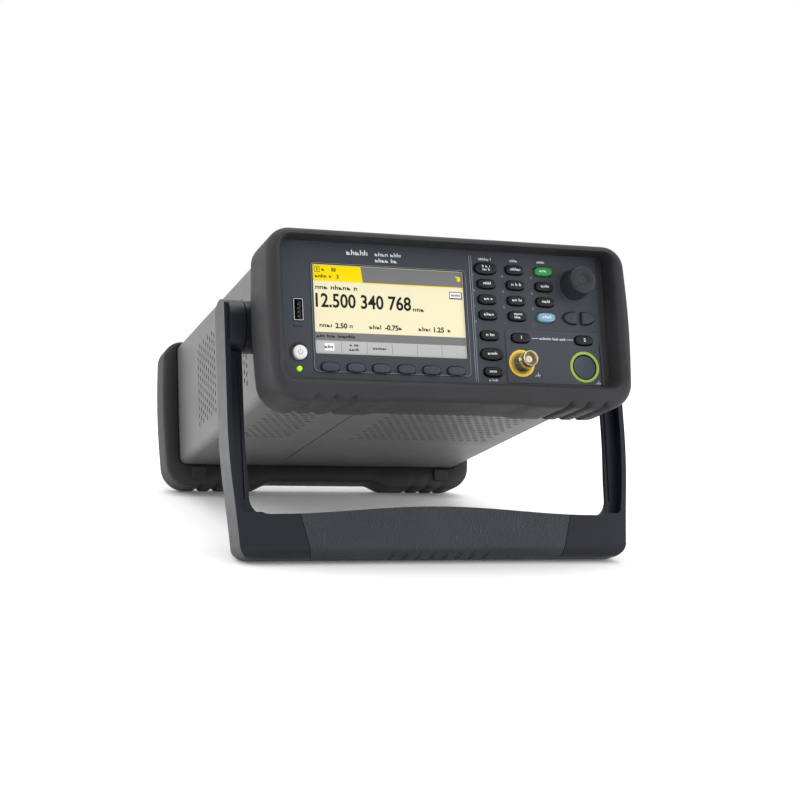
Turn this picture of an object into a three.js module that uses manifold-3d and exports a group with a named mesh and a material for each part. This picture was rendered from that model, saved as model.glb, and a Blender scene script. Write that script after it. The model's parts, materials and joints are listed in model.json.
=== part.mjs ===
// Bench-top frequency counter, half a rack wide and two units high, standing on its carrying handle.
// Millimetres, +Z up, front towards -Y. Everything is drawn in the unit's own level frame (X across,
// Y to the rear from the front panel's face, Z up from the chassis floor). The whole unit is then
// tilted back until the handle's foot and the rear bumper's heel both touch the surface at Z = 0.
import * as THREE from "three";
import { mergeVertices } from "three/addons/utils/BufferGeometryUtils.js";
import Module from "manifold-3d";

const wasm = await Module();
wasm.setup();

// ---------------------------------------------------------------- driving dimensions
const CHASSIS = { width: 212.8, height: 88.3, depth: 271.0, corner: 5, sheet: 1.2 };
const GAP = 0.4; // clearance between neighbouring solids
const SEAM = { x: -35, width: 0.8 }; // lap seam along the chassis floor

const OVERALL = { width: 261.1, height: 103.8, depth: 303.2 }; // with the bumpers and the handle
const BUMPER = {
  top: 90.6, footInner: 41, footRamp: 48, sideCorner: 14, footCorner: 17, lipX: 104.6, lipLow: 2.2, lipHigh: 85.6,
};
const FRONT_BUMPER = { y0: -12.5, y1: 29, halfWidth: 116.5, foot: BUMPER.top - OVERALL.height, arch: -11.9 };
const REAR_BUMPER = { y0: 262, y1: OVERALL.depth + FRONT_BUMPER.y0, halfWidth: 117.6, foot: -16.2, arch: -11.6 };

const PIVOT = { y: 46, z: 43.5 };
const HANDLE = {
  outer: OVERALL.width / 2, inner: 118.6, outerFoot: 125.4, innerFoot: 117, depth: 22, hub: 16.5,
  bottom: -98, barTop: -72, barArch: -67, corner: 8.5, gusset: 11, flange: 3.2,
};
const WEB = { y0: 42, y1: 45 }; // the thin wall inside each arm's flange
const GRIP = { topHalf: 91, bottomHalf: 81, wall: 2.2 };
const HEEL = { radius: 8.5, facet: THREE.MathUtils.degToRad(9) }; // rounding that meets the surface
const PIN_RADIUS = 6;

const PANEL = { width: 209.4, height: 84.9, thick: 4 }; // front panel, inside the chassis sleeve
const SCREEN = { x: -37.6, z: 44.5, width: 95.0, height: 53.9 };
const KEY_BACK = 5.4; // rear face of every key at rest
const KEY_PROUD = 2.2;
const KEY_ROWS = [74.3, 64.5, 54.7, 44.9];
const KEY_COLUMNS = [25.1, 44.4, 63.7];
const OVAL = { w: 14.4, h: 7.2, r: 3.6 };
const OBLONG = { w: 11.6, h: 5.6, r: 2.4 };
const SOFTKEY = { count: 6, pitch: SCREEN.width / 6, z: 8.9, w: 10.8, h: 5.4, r: 2.6 };
const KNOB = { x: 84.2, z: 66.4, base: 9.7, face: 8.6, height: 15, shaft: 3 };
const INPUT = { x: 45.4, z: 15.4 };
const CHANNEL_2 = { x: 87.7, z: 14.4, radius: 7.5 };
const POWER = { x: -95.3, z: 17.3, radius: 4.4 };
const LED = { x: -95.6, z: 7.7, radius: 1.6 };
const USB_HOST = { x: -95.2, z: 43.2, w: 5.8, h: 13.2, depth: 17 };

const REAR_PANEL = { y0: 267.5, y1: 269.5 };
const MAINS = { x: -20, z: 44 };
const FAN = { x: -70, z: 45, size: 60, y0: 251, y1: 266 };
const LAN = { x: 22, z: 30, w: 15.9, h: 13.5 };
const USB_DEVICE = { x: 46, z: 30, w: 12, h: 11 };
const GPIB = { x: 45, z: 66 };
const REAR_BNC = {
  reference_out_bnc: [67, 22], reference_in_bnc: [88, 22], trigger_in_bnc: [67, 46], gate_bnc: [88, 46],
};

// The tangent line under the two equal heel arcs gives the tilt of the standing unit.
const handleHeel = { y: PIVOT.y + HANDLE.depth / 2 - HEEL.radius, z: HANDLE.bottom + HEEL.radius };
const bumperHeel = { y: REAR_BUMPER.y1 - HEEL.radius, z: REAR_BUMPER.foot + HEEL.radius };
const TILT = Math.atan2(bumperHeel.z - handleHeel.z, bumperHeel.y - handleHeel.y);

// ---------------------------------------------------------------- materials
const paint = (color, roughness, metalness = 0) =>
  new THREE.MeshStandardMaterial({ color, roughness, metalness });
const MATERIAL = {
  chassis: paint(0x8d8c8c, 0.5, 0.3),
  sheet: paint(0xb9bcc0, 0.35, 0.9),
  bumper: paint(0x3a3a3d, 0.8),
  panel: paint(0x3b4048, 0.55),
  handle: paint(0x2b3038, 0.4),
  grip: paint(0x3a424b, 0.9),
  key: paint(0x1f2226, 0.6),
  softkey: paint(0x4d535c, 0.6),
  green: paint(0x2f9a41, 0.5),
  blue: paint(0x86aecb, 0.5),
  white: paint(0xf1f1f1, 0.4),
  led: paint(0x9be01e, 0.3),
  glass: paint(0xf4eec8, 0.1),
  board: paint(0x1d5b35, 0.6),
  rubber: paint(0x55585c, 0.9),
  connector: paint(0xc9b98a, 0.25, 1),
  black: paint(0x151517, 0.5),
};

// ---------------------------------------------------------------- outlines, as arrays of Vector2
const point = (x, y) => new THREE.Vector2(x, y);

// Points of an arc about (cx, cy), from angle a0 to a1 in degrees.
function arc(cx, cy, r, a0, a1, steps) {
  return Array.from({ length: steps + 1 }, (_, i) => {
    const a = THREE.MathUtils.degToRad(a0 + ((a1 - a0) * i) / steps);
    return point(cx + r * Math.cos(a), cy + r * Math.sin(a));
  });
}

function roundedRect(cx, cy, w, h, r, steps = 2) {
  const x = w / 2 - r;
  const y = h / 2 - r;
  return [
    ...arc(cx + x, cy - y, r, -90, 0, steps),
    ...arc(cx + x, cy + y, r, 0, 90, steps),
    ...arc(cx - x, cy + y, r, 90, 180, steps),
    ...arc(cx - x, cy - y, r, 180, 270, steps),
  ];
}

const rectangle = (x0, y0, x1, y1) => [point(x0, y0), point(x1, y0), point(x1, y1), point(x0, y1)];
const circle = (cx, cy, r, steps = 16) => arc(cx, cy, r, 0, 360, steps).slice(0, -1);
const mirrored = (points) => points.map((p) => point(-p.x, p.y)).reverse();

// ---------------------------------------------------------------- solids
function shapeOf(outline, holes = []) {
  const shape = new THREE.Shape(outline);
  shape.holes = holes.map((hole) => new THREE.Path(hole));
  return shape;
}

const extruded = (outline, holes, depth) =>
  new THREE.ExtrudeGeometry(shapeOf(outline, holes), { depth, bevelEnabled: false });

// An outline drawn in X and Z, with its thickness from y0 to y1.
function alongY(outline, y0, y1, holes = []) {
  return extruded(outline, holes, y1 - y0).rotateX(Math.PI / 2).translate(0, y1, 0);
}

// An outline drawn in Y and Z, with its thickness from x0 to x1.
function alongX(outline, x0, x1, holes = []) {
  const turn = new THREE.Matrix4().makeBasis(
    new THREE.Vector3(0, 1, 0), new THREE.Vector3(0, 0, 1), new THREE.Vector3(1, 0, 0));
  return extruded(outline, holes, x1 - x0).applyMatrix4(turn).translate(x0, 0, 0);
}

function box(x0, x1, y0, y1, z0, z1) {
  return new THREE.BoxGeometry(x1 - x0, y1 - y0, z1 - z0)
    .translate((x0 + x1) / 2, (y0 + y1) / 2, (z0 + z1) / 2);
}

// A turned piece about the line through (x, z) along Y. The profile is pairs of radius and y,
// listed so that the material lies on its left.
function turned(profile, x, z, segments = 16) {
  const points = profile.map(([r, y]) => point(r, y));
  return new THREE.LatheGeometry(points, segments).translate(x, 0, z);
}

// The same about the X axis at the handle's pivot: pairs of radius and x.
function turnedAboutX(profile, segments = 16) {
  const points = profile.map(([r, x]) => point(r, x));
  return new THREE.LatheGeometry(points, segments).rotateZ(-Math.PI / 2)
    .translate(0, PIVOT.y, PIVOT.z);
}

// A closed skin through several outlines of equal length, each {y, outline}.
function lofted(sections) {
  const n = sections[0].outline.length;
  const caps = THREE.ShapeUtils.triangulateShape(sections[0].outline, []);
  const last = (sections.length - 1) * n;
  const positions = sections.flatMap((s) => s.outline.flatMap((p) => [p.x, s.y, p.y]));
  const index = [];
  for (let s = 0; s + 1 < sections.length; s++) {
    for (let i = 0; i < n; i++) {
      const j = (i + 1) % n;
      const [a, b, c, d] = [s * n + i, s * n + j, (s + 1) * n + i, (s + 1) * n + j];
      index.push(a, b, d, a, d, c);
    }
  }
  for (const [a, b, c] of caps) {
    index.push(a, c, b, last + a, last + b, last + c);
  }
  for (let i = 0; i < index.length; i += 3) {
    [index[i + 1], index[i + 2]] = [index[i + 2], index[i + 1]];
  }
  const geometry = new THREE.BufferGeometry();
  geometry.setAttribute("position", new THREE.Float32BufferAttribute(positions, 3));
  return geometry.setIndex(index);
}

// ---------------------------------------------------------------- joining and cutting
function solidOf(geometry) {
  const bare = geometry.clone();
  bare.deleteAttribute("normal");
  bare.deleteAttribute("uv");
  const merged = mergeVertices(bare, 1e-3);
  return new wasm.Manifold(new wasm.Mesh({
    numProp: 3,
    vertProperties: merged.attributes.position.array,
    triVerts: new Uint32Array(merged.index.array),
  }));
}

function geometryOf(solid) {
  const mesh = solid.getMesh();
  const geometry = new THREE.BufferGeometry();
  geometry.setAttribute("position", new THREE.Float32BufferAttribute(mesh.vertProperties, 3));
  return geometry.setIndex(new THREE.BufferAttribute(mesh.triVerts, 1));
}

const join = (...geometries) =>
  geometryOf(geometries.map(solidOf).reduce((sum, next) => sum.add(next)));
const cut = (geometry, ...tools) =>
  geometryOf(tools.map(solidOf).reduce((rest, tool) => rest.subtract(tool), solidOf(geometry)));
const common = (first, second) => geometryOf(solidOf(first).intersect(solidOf(second)));

// ---------------------------------------------------------------- the unit and its pieces
const unit = new THREE.Group();

function add(name, geometry, material) {
  const mesh = new THREE.Mesh(geometry, MATERIAL[material]);
  mesh.name = name;
  unit.add(mesh);
}

const chassisOutline = (inset, steps = 3) => roundedRect(0, CHASSIS.height / 2,
  CHASSIS.width - 2 * inset, CHASSIS.height - 2 * inset, CHASSIS.corner - Math.min(inset, 4), steps);

function addChassis() {
  const sleeve = alongY(chassisOutline(0), GAP, CHASSIS.depth, [chassisOutline(CHASSIS.sheet)]);
  const seam = box(SEAM.x, SEAM.x + SEAM.width, -1, CHASSIS.depth + 1, -1, CHASSIS.sheet + 1);
  add("chassis_cover", cut(sleeve, seam), "chassis");

  const half = CHASSIS.width / 2 - CHASSIS.sheet - GAP;
  const floor = CHASSIS.sheet + GAP;
  const rim = 40;
  const corner = CHASSIS.corner;
  const tray = alongY([
    point(-half, rim), point(-half, floor + corner), point(-half + corner, floor),
    point(half - corner, floor), point(half, floor + corner), point(half, rim),
    point(half - CHASSIS.sheet, rim), point(half - CHASSIS.sheet, floor + corner),
    point(half - corner, floor + CHASSIS.sheet), point(corner - half, floor + CHASSIS.sheet),
    point(CHASSIS.sheet - half, floor + corner), point(CHASSIS.sheet - half, rim),
  ], 12, REAR_PANEL.y0 - GAP);
  const posts = [];
  for (const x of [-32, 30, 90]) {
    for (const y of [28, 190]) {
      posts.push(box(x - 3, x + 3, y - 3, y + 3, floor + 0.5, 9.6));
    }
  }
  add("chassis_tray", join(tray, ...posts), "sheet");
}

// Half of a bumper's outline, from the middle of its underside round to the middle of its top.
function bumperOutline(bumper, inset) {
  const half = bumper.halfWidth - inset;
  const top = BUMPER.top - inset;
  const foot = bumper.foot + inset;
  const corner = BUMPER.sideCorner;
  const heel = BUMPER.footCorner;
  const right = [
    point(BUMPER.footInner, bumper.arch + inset), point(BUMPER.footRamp, foot),
    ...arc(half - 1.5 - heel, foot + heel, heel, -90, -15, 4),
    point(half, 30), point(half, 58),
    ...arc(half - 1 - corner, top - corner, corner, 12, 90, 4),
  ];
  return [...right, ...mirrored(right)];
}

function bumperSkin(bumper, ends) {
  return lofted(ends.map(([y, inset]) => ({ y, outline: bumperOutline(bumper, inset) })));
}

function addBumpers() {
  const sleeve = (y0, y1) => alongY(chassisOutline(-GAP), y0, y1);
  const lip = (y0, y1) => alongY(roundedRect(0, (BUMPER.lipLow + BUMPER.lipHigh) / 2,
    2 * BUMPER.lipX, BUMPER.lipHigh - BUMPER.lipLow, 4), y0, y1);

  const front = bumperSkin(FRONT_BUMPER, [
    [FRONT_BUMPER.y0, 5], [FRONT_BUMPER.y0 + 1.5, 2], [FRONT_BUMPER.y0 + 5, 0],
    [FRONT_BUMPER.y1 - 3, 0], [FRONT_BUMPER.y1, 1.5],
  ]);
  add("front_bumper", cut(front, sleeve(-GAP, 40), lip(-20, 1)), "bumper");

  // The rear bumper's heel is an arc whose facet under the tilt is the unit's rear foot.
  const { y1 } = REAR_BUMPER;
  const angle = (a) => [y1 - HEEL.radius * (1 - Math.sin(a)), HEEL.radius * (1 - Math.cos(a))];
  const rear = bumperSkin(REAR_BUMPER, [
    [REAR_BUMPER.y0, 1.5], [REAR_BUMPER.y0 + 3, 0],
    angle(0), angle(TILT - HEEL.facet), angle(TILT + HEEL.facet), angle(1.05), [y1, HEEL.radius - 1.5],
  ]);
  add("rear_bumper", cut(rear, sleeve(240, CHASSIS.depth + GAP), lip(260, 300)), "bumper");
}

// ---------------------------------------------------------------- handle
function handleSide(inset) {
  const front = PIVOT.y - HANDLE.depth / 2 + inset;
  const rear = PIVOT.y + HANDLE.depth / 2 - inset;
  const bottom = HANDLE.bottom + inset;
  const r = HEEL.radius - inset;
  const heel = [90, 60, 0].map(THREE.MathUtils.degToRad);
  heel.splice(2, 0, TILT + HEEL.facet, TILT - HEEL.facet);
  return [
    ...heel.slice().reverse().map((a) => point(rear - r + r * Math.sin(a), bottom + r - r * Math.cos(a))),
    ...arc(PIVOT.y, PIVOT.z, HANDLE.hub, 48.2, 131.8, 6),
    ...heel.map((a) => point(front + r - r * Math.sin(a), bottom + r - r * Math.cos(a))),
  ];
}

function handleFront() {
  const { outer, inner, outerFoot, innerFoot, bottom, barTop, barArch, corner, gusset } = HANDLE;
  const right = [
    ...arc(outerFoot - corner, bottom + corner, corner, -90, 0, 4),
    point(127.2, -68), point(129.4, -45), point(130.4, -25), point(outer, -5),
    point(outer, PIVOT.z + HANDLE.hub + 2), point(inner, PIVOT.z + HANDLE.hub + 2),
    point(inner, -18), point(innerFoot, barTop + gusset),
    ...arc(innerFoot - gusset, barTop + gusset, gusset, -30, -90, 3),
    point(45, (barTop + barArch) / 2), point(15, barArch),
  ];
  return [...right, ...mirrored(right)];
}

// The hollow beside each arm's web, seen from the front: inside the flange, from the bar up to the hub.
function armHollow(side) {
  const { outer, outerFoot, flange, barTop } = HANDLE;
  const outline = [
    point(80, barTop + 1.2), point(outerFoot + 0.6 - flange, barTop + 1.2), point(128.3 - flange, -55),
    point(130 - flange, -34), point(outer - flange, -8), point(outer - flange, PIVOT.z), point(80, PIVOT.z),
  ];
  return side > 0 ? outline : mirrored(outline);
}

function addHandle() {
  const reach = HANDLE.outer + 1;
  const blank = common(alongY(handleFront(), 20, 70), alongX(handleSide(0), -reach, reach));
  const hub = (x0, x1) => alongX(circle(PIVOT.y, PIVOT.z, HANDLE.hub, 24), x0, x1);
  const shoulder = HANDLE.outer - HANDLE.flange;
  const hollows = [-1, 1].flatMap((side) => [
    alongY(armHollow(side), 20, WEB.y0), alongY(armHollow(side), WEB.y1, 70),
  ]);
  const body = join(cut(blank, ...hollows), hub(HANDLE.inner, shoulder), hub(-shoulder, -HANDLE.inner));
  const { topHalf, bottomHalf, wall } = GRIP;
  const zone = (extra) => alongY([
    point(-bottomHalf - extra, HANDLE.bottom - 2), point(bottomHalf + extra, HANDLE.bottom - 2),
    point(topHalf + extra, -60), point(-topHalf - extra, -60),
  ], 20, 70);
  const core = (inset) => alongX([
    ...roundedRect(PIVOT.y, (HANDLE.bottom + HANDLE.barTop) / 2, HANDLE.depth - 2 * inset,
      HANDLE.barTop - HANDLE.bottom - 2 * inset, 4),
  ], -100, 100);
  const bore = (side) => turnedAboutX([[0, 0], [PIN_RADIUS + GAP, 0], [PIN_RADIUS + GAP, 8], [0, 8]])
    .translate(side > 0 ? HANDLE.inner - 1 : -HANDLE.inner - 7, 0, 0);
  add("handle_frame", join(cut(body, zone(0), bore(1), bore(-1)), core(wall + GAP)), "handle");
  add("handle_grip", cut(common(body, zone(-GAP)), core(wall)), "grip");
}

function addPivotBosses() {
  const start = CHASSIS.width / 2 + GAP;
  const shoulder = HANDLE.inner - GAP;
  const tip = HANDLE.inner + 6;
  const profile = [
    [0, start], [HANDLE.hub - 0.5, start], [HANDLE.hub - 0.5, shoulder],
    [PIN_RADIUS, shoulder], [PIN_RADIUS, tip], [0, tip],
  ];
  const opposite = profile.map(([r, x]) => [r, -x]).reverse();
  add("pivot_boss_right", turnedAboutX(profile), "handle");
  add("pivot_boss_left", turnedAboutX(opposite), "handle");
}

// ---------------------------------------------------------------- keys and controls on the front
const KEYS = [];
function key(name, x, z, size, material = "key") {
  KEYS.push({ name, x, z, size, material });
}

function listKeys() {
  const columns = [
    ["auto_scale_key", "frequency_key", "period_key", "ratio_key"],
    ["digits_key", "graph_key", "math_key", "data_log_key"],
    ["preset_key", "utility_key", "help_key", "shift_key"],
  ];
  columns.forEach((names, c) => names.forEach((name, r) => {
    const size = name === "auto_scale_key" ? OVAL : OBLONG;
    const material = { preset_key: "green", shift_key: "blue" }[name] ?? "key";
    key(name, KEY_COLUMNS[c], KEY_ROWS[r], size, material);
  }));
  key("gate_key", 25.2, 32, OBLONG);
  key("trigger_key", 26, 20.4, OVAL);
  key("back_key", 26.2, 9.3, OBLONG);
  key("channel_1_key", 45.5, 31.2, OBLONG);
  key("channel_2_key", 88.2, 31.2, OBLONG);
  key("left_arrow_key", 79.9, 45.4, { w: 8.6, h: 7.4, r: 3 });
  key("right_arrow_key", 92, 45.4, { w: 8.6, h: 7.4, r: 3 });
  for (let i = 0; i < SOFTKEY.count; i++) {
    const x = SCREEN.x + SOFTKEY.pitch * (i - (SOFTKEY.count - 1) / 2);
    key(`softkey_${i + 1}`, x, SOFTKEY.z, SOFTKEY, "softkey");
  }
}

const keyOutline = ({ x, z, size }, extra) =>
  roundedRect(x, z, size.w + 2 * extra, size.h + 2 * extra, size.r + extra);

function addFrontPanel() {
  listKeys();
  const holes = [
    roundedRect(SCREEN.x, SCREEN.z, SCREEN.width + 1.6, SCREEN.height + 1.6, 1.5, 1),
    ...KEYS.map((k) => keyOutline(k, GAP)),
    circle(POWER.x, POWER.z, POWER.radius + GAP),
    circle(LED.x, LED.z, LED.radius + GAP, 8),
    roundedRect(USB_HOST.x, USB_HOST.z, USB_HOST.w + 2 * GAP, USB_HOST.h + 2 * GAP, 0.6, 1),
    circle(INPUT.x, INPUT.z, 6.5),
    circle(CHANNEL_2.x, CHANNEL_2.z, CHANNEL_2.radius + GAP),
    circle(KNOB.x, KNOB.z, 4.8, 12),
  ];
  const outline = roundedRect(0, CHASSIS.height / 2, PANEL.width, PANEL.height, 3.4);
  add("front_panel", alongY(outline, 0, PANEL.thick, holes), "panel");
  for (const k of KEYS) {
    add(k.name, alongY(keyOutline(k, 0), -KEY_PROUD, KEY_BACK), k.material);
  }
}

function addPanelFittings() {
  const { x, z } = SCREEN;
  add("display_window", alongY(roundedRect(x, z, SCREEN.width + 0.7, SCREEN.height + 0.7, 1, 1), 0.6, 2.2), "glass");
  add("display_module", box(x - 52, x + 52, 4.4, 8.4, z - 31.7, z + 31.7), "sheet");
  add("power_button", turned([
    [0, -1.2], [POWER.radius - 1, -1.8], [POWER.radius, -1.2], [POWER.radius, KEY_BACK], [0, KEY_BACK],
  ], POWER.x, POWER.z), "white");
  add("power_led", turned([[0, -0.6], [LED.radius, -0.2], [LED.radius, 8.6], [0, 8.6]],
    LED.x, LED.z, 8), "led");
  add("channel_2_plug", turned([
    [0, 0.6], [CHANNEL_2.radius - 1, 0.6], [CHANNEL_2.radius, 0], [CHANNEL_2.radius, 3.6], [0, 3.6],
  ], CHANNEL_2.x, CHANNEL_2.z), "panel");
}

function addKnob() {
  const { x, z, base, face, height, shaft } = KNOB;
  const bore = shaft + GAP;
  add("tuning_knob", turned([
    [0, -height + 1], [3.2, -height + 1], [4, -height], [face - 0.8, -height],
    [face, -height + 0.8], [base, -0.6], [bore, -0.6], [bore, -11.8], [0, -11.8],
  ], x, z, 20), "rubber");
  const shaftPiece = turned([
    [0, -11], [shaft, -11], [shaft, 0.4], [4.2, 0.4], [4.2, 5], [0, 5],
  ], x, z, 12);
  add("knob_encoder", join(shaftPiece, box(x - 6, x + 6, 4.5, 8.6, z - 6, z + 6)), "sheet");
}

function addKeypad() {
  const membrane = [
    [-85, 4], [35, 4], [35, 26.5], [99, 26.5], [99, 52], [73, 52], [73, 81], [16, 81], [16, 12], [-85, 12],
  ].map(([x, z]) => point(x, z));
  add("keypad_membrane", alongY(membrane, 6.6, 7.8), "rubber");
  const board = rectangle(-101, 3.5, 101, 82);
  add("front_circuit_board", alongY(board, 9, 10.6, [
    circle(INPUT.x, INPUT.z, 7),
    rectangle(USB_HOST.x - 3.6, USB_HOST.z - 7.4, USB_HOST.x + 3.6, USB_HOST.z + 7.4),
  ]), "board");
}

// ---------------------------------------------------------------- connectors
// A bayonet jack about a line along Y. sign is -1 at the front and +1 at the rear; face is the panel's
// outer surface. The shell, its flange, the bore with the centre contact, and the tail are one turning.
function bayonetJack(x, z, face, sign, tail, segments) {
  const at = (out) => face + sign * out;
  const profile = [
    [0, at(12.5)], [1.2, at(12.5)], [2.1, at(11.5)], [2.1, at(6)], [4.1, at(6)], [4.1, at(14.2)],
    [4.8, at(14.2)], [4.8, at(3)], [7.4, at(2.2)], [7.4, at(GAP)], [6, at(GAP)], [6, at(-tail)], [0, at(-tail)],
  ];
  if (sign > 0) profile.reverse();
  const shell = turned(profile, x, z, segments);
  const lug = box(-6.2, 6.2, at(9.4) - 1, at(9.4) + 1, -1, 1).translate(x, 0, z);
  const bore = turned(sign > 0
    ? [[0, at(6)], [4.4, at(6)], [4.4, at(15)], [0, at(15)]]
    : [[0, at(15)], [4.4, at(15)], [4.4, at(6)], [0, at(6)]], x, z, segments);
  return join(shell, cut(lug, bore));
}

function addFrontConnectors() {
  add("input_bnc", bayonetJack(INPUT.x, INPUT.z, 0, -1, 14, 16), "connector");

  const { x, z, w, h, depth } = USB_HOST;
  const wall = 0.35;
  const shell = alongY(rectangle(x - w / 2, z - h / 2, x + w / 2, z + h / 2), -GAP, depth);
  const mouth = box(x - w / 2 + wall, x + w / 2 - wall, -1, depth - 1.5, z - h / 2 + wall, z + h / 2 - wall);
  const tongue = box(x + 0.5, x + 2.2, 1, depth - 1, z - 5.6, z + 5.6);
  add("usb_host_port", join(cut(shell, mouth), tongue), "connector");
}

function addMainsInlet() {
  const { x, z } = MAINS;
  const { y1 } = REAR_PANEL;
  const body = join(
    box(x - 13.7, x + 13.7, 240, y1 + 1, z - 17.5, z + 17.5),
    alongY(roundedRect(x, z, 33, 40, 3, 1), y1 + GAP, y1 + 3),
  );
  const socket = alongY([
    point(x - 11, z - 3), point(x + 11, z - 3), point(x + 11, z + 7), point(x + 7.5, z + 11.5),
    point(x - 7.5, z + 11.5), point(x - 11, z + 7),
  ], y1 - 15, y1 + 4);
  const slot = box(x - 10, x + 10, 250, y1 + 4, z - 14, z - 6);
  const blade = (dx, dz) => box(x + dx - 1, x + dx + 1, y1 - 16, y1 - 5, z + dz - 2, z + dz + 2);
  add("mains_inlet", join(cut(body, socket, slot), blade(-7, 1.5), blade(7, 1.5), blade(0, 6.5)), "black");
  add("fuse_drawer", join(
    box(x - 9.6, x + 9.6, 251, y1 + 4, z - 13.6, z - 6.4),
    box(x - 11, x + 11, y1 + 3.4, y1 + 5, z - 15, z - 5),
  ), "black");
}

function addDataPorts() {
  const out = REAR_PANEL.y1 + 3.5;
  const lan = LAN;
  add("lan_port", cut(
    box(lan.x - lan.w / 2, lan.x + lan.w / 2, 252, out, lan.z - lan.h / 2, lan.z + lan.h / 2),
    box(lan.x - 5.9, lan.x + 5.9, out - 12, out + 1, lan.z - 4.6, lan.z + 4.2),
    box(lan.x - 3, lan.x + 3, out - 12, out + 1, lan.z - 6, lan.z - 4),
  ), "connector");
  const usb = USB_DEVICE;
  add("usb_device_port", join(cut(
    box(usb.x - usb.w / 2, usb.x + usb.w / 2, 254, out, usb.z - usb.h / 2, usb.z + usb.h / 2),
    box(usb.x - 4.2, usb.x + 4.2, out - 9, out + 1, usb.z - 3.9, usb.z + 3.9),
  ), box(usb.x - 2.8, usb.x + 2.8, out - 10, out - 1, usb.z - 1.6, usb.z + 1.6)), "connector");

  const { x, z } = GPIB;
  const { y1 } = REAR_PANEL;
  const shell = (half, tall, r, y0, yEnd) => alongY(roundedRect(x, z, 2 * half, tall, r, 1), y0, yEnd);
  add("gpib_port", join(
    shell(31, 15.5, 2, y1 + GAP, y1 + 2.2),
    cut(shell(23, 11.5, 4, y1 + 1, y1 + 8), shell(21.8, 9.1, 3, y1 + 3, y1 + 9)),
    box(x - 18, x + 18, y1 + 2, y1 + 6.5, z - 1.6, z + 1.6),
    box(x - 22, x + 22, 256, y1 + 1, z - 5, z + 5),
  ), "connector");
  for (const [name, [bx, bz]] of Object.entries(REAR_BNC)) {
    add(name, bayonetJack(bx, bz, y1, 1, 12, 12), "connector");
  }
}

function addRearPanel() {
  const { y0, y1 } = REAR_PANEL;
  const holes = [
    circle(FAN.x, FAN.z, 27, 24),
    rectangle(MAINS.x - 14.2, MAINS.z - 18, MAINS.x + 14.2, MAINS.z + 18),
    rectangle(LAN.x - LAN.w / 2 - GAP, LAN.z - LAN.h / 2 - GAP, LAN.x + LAN.w / 2 + GAP, LAN.z + LAN.h / 2 + GAP),
    rectangle(USB_DEVICE.x - USB_DEVICE.w / 2 - GAP, USB_DEVICE.z - USB_DEVICE.h / 2 - GAP,
      USB_DEVICE.x + USB_DEVICE.w / 2 + GAP, USB_DEVICE.z + USB_DEVICE.h / 2 + GAP),
    rectangle(GPIB.x - 22.5, GPIB.z - 5.5, GPIB.x + 22.5, GPIB.z + 5.5),
    ...Object.values(REAR_BNC).map(([x, z]) => circle(x, z, 6.5, 12)),
  ];
  const plate = alongY(roundedRect(0, CHASSIS.height / 2, PANEL.width, PANEL.height, 3.4), y0, y1, holes);
  // A four-bar finger guard stamped across the fan's opening.
  const bars = [-16, -5.5, 5.5, 16].map((dz) => box(FAN.x - 30, FAN.x + 30, y0, y1, FAN.z + dz - 1.2, FAN.z + dz + 1.2));
  add("rear_panel", join(plate, ...bars), "sheet");
}

// ---------------------------------------------------------------- inside
function addFan() {
  const { x, z, size, y0, y1 } = FAN;
  const duct = circle(x, z, 28.4, 24);
  const frame = alongY(roundedRect(x, z, size, size, 4, 1), y0, y1, [duct]);
  const spider = [
    alongY(circle(x, z, 12, 12), y0, y0 + 2.5),
    box(x - 29.5, x + 29.5, y0, y0 + 2.2, z - 1.5, z + 1.5),
    box(x - 1.5, x + 1.5, y0, y0 + 2.2, z - 29.5, z + 29.5),
  ];
  add("fan_frame", join(frame, ...spider), "black");

  const hub = alongY(circle(0, 0, 13, 14), y0 + 3.2, y1 - 0.6);
  const blades = Array.from({ length: 7 }, (_, i) => {
    const blade = new THREE.BoxGeometry(16, 1.6, 11);
    blade.rotateX(THREE.MathUtils.degToRad(38)).translate(19.4, (y0 + y1) / 2 + 0.8, 0);
    return blade.rotateY((i * 2 * Math.PI) / 7);
  });
  add("fan_rotor", join(hub, ...blades).translate(x, 0, z), "black");
}

function addElectronics() {
  add("main_circuit_board", box(-40, 100, 20, 245, 10, 11.6), "board");
  add("oscillator_can", box(50, 86, 150, 186, 12, 31), "sheet");
  add("power_supply", cut(box(-97, -46, 55, 240, 3.4, 62), box(-94.5, -48.5, 50, 237, 8, 60)), "sheet");
}

addChassis();
addBumpers();
addHandle();
addPivotBosses();
addFrontPanel();
addPanelFittings();
addKnob();
addKeypad();
addFrontConnectors();
addRearPanel();
addMainsInlet();
addDataPorts();
addFan();
addElectronics();

// ---------------------------------------------------------------- standing on the handle
// The tilt is a turn about X; the group is then set down on Z = 0 with the box's centre over the origin.
unit.rotation.x = -TILT;
const counter = new THREE.Group();
counter.add(unit);
const bounds = new THREE.Box3().setFromObject(counter, true);
unit.position.set(0, -(bounds.min.y + bounds.max.y) / 2, -bounds.min.z);

export default counter;
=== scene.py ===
"""A half-rack bench frequency counter, standing nose-up on its carrying handle.

Every piece is drawn in the unit's own level frame, in millimetres: X across, Y to the rear from the
front panel's face, Z up from the chassis floor. UNIT carries that frame into the tilted row frame.
"""
import json
from math import atan2, copysign, cos, hypot, pi, radians, sin
from types import SimpleNamespace as Sizes

import bpy
import bmesh
from mathutils import Matrix, Vector
from mathutils.geometry import delaunay_2d_cdt


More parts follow.
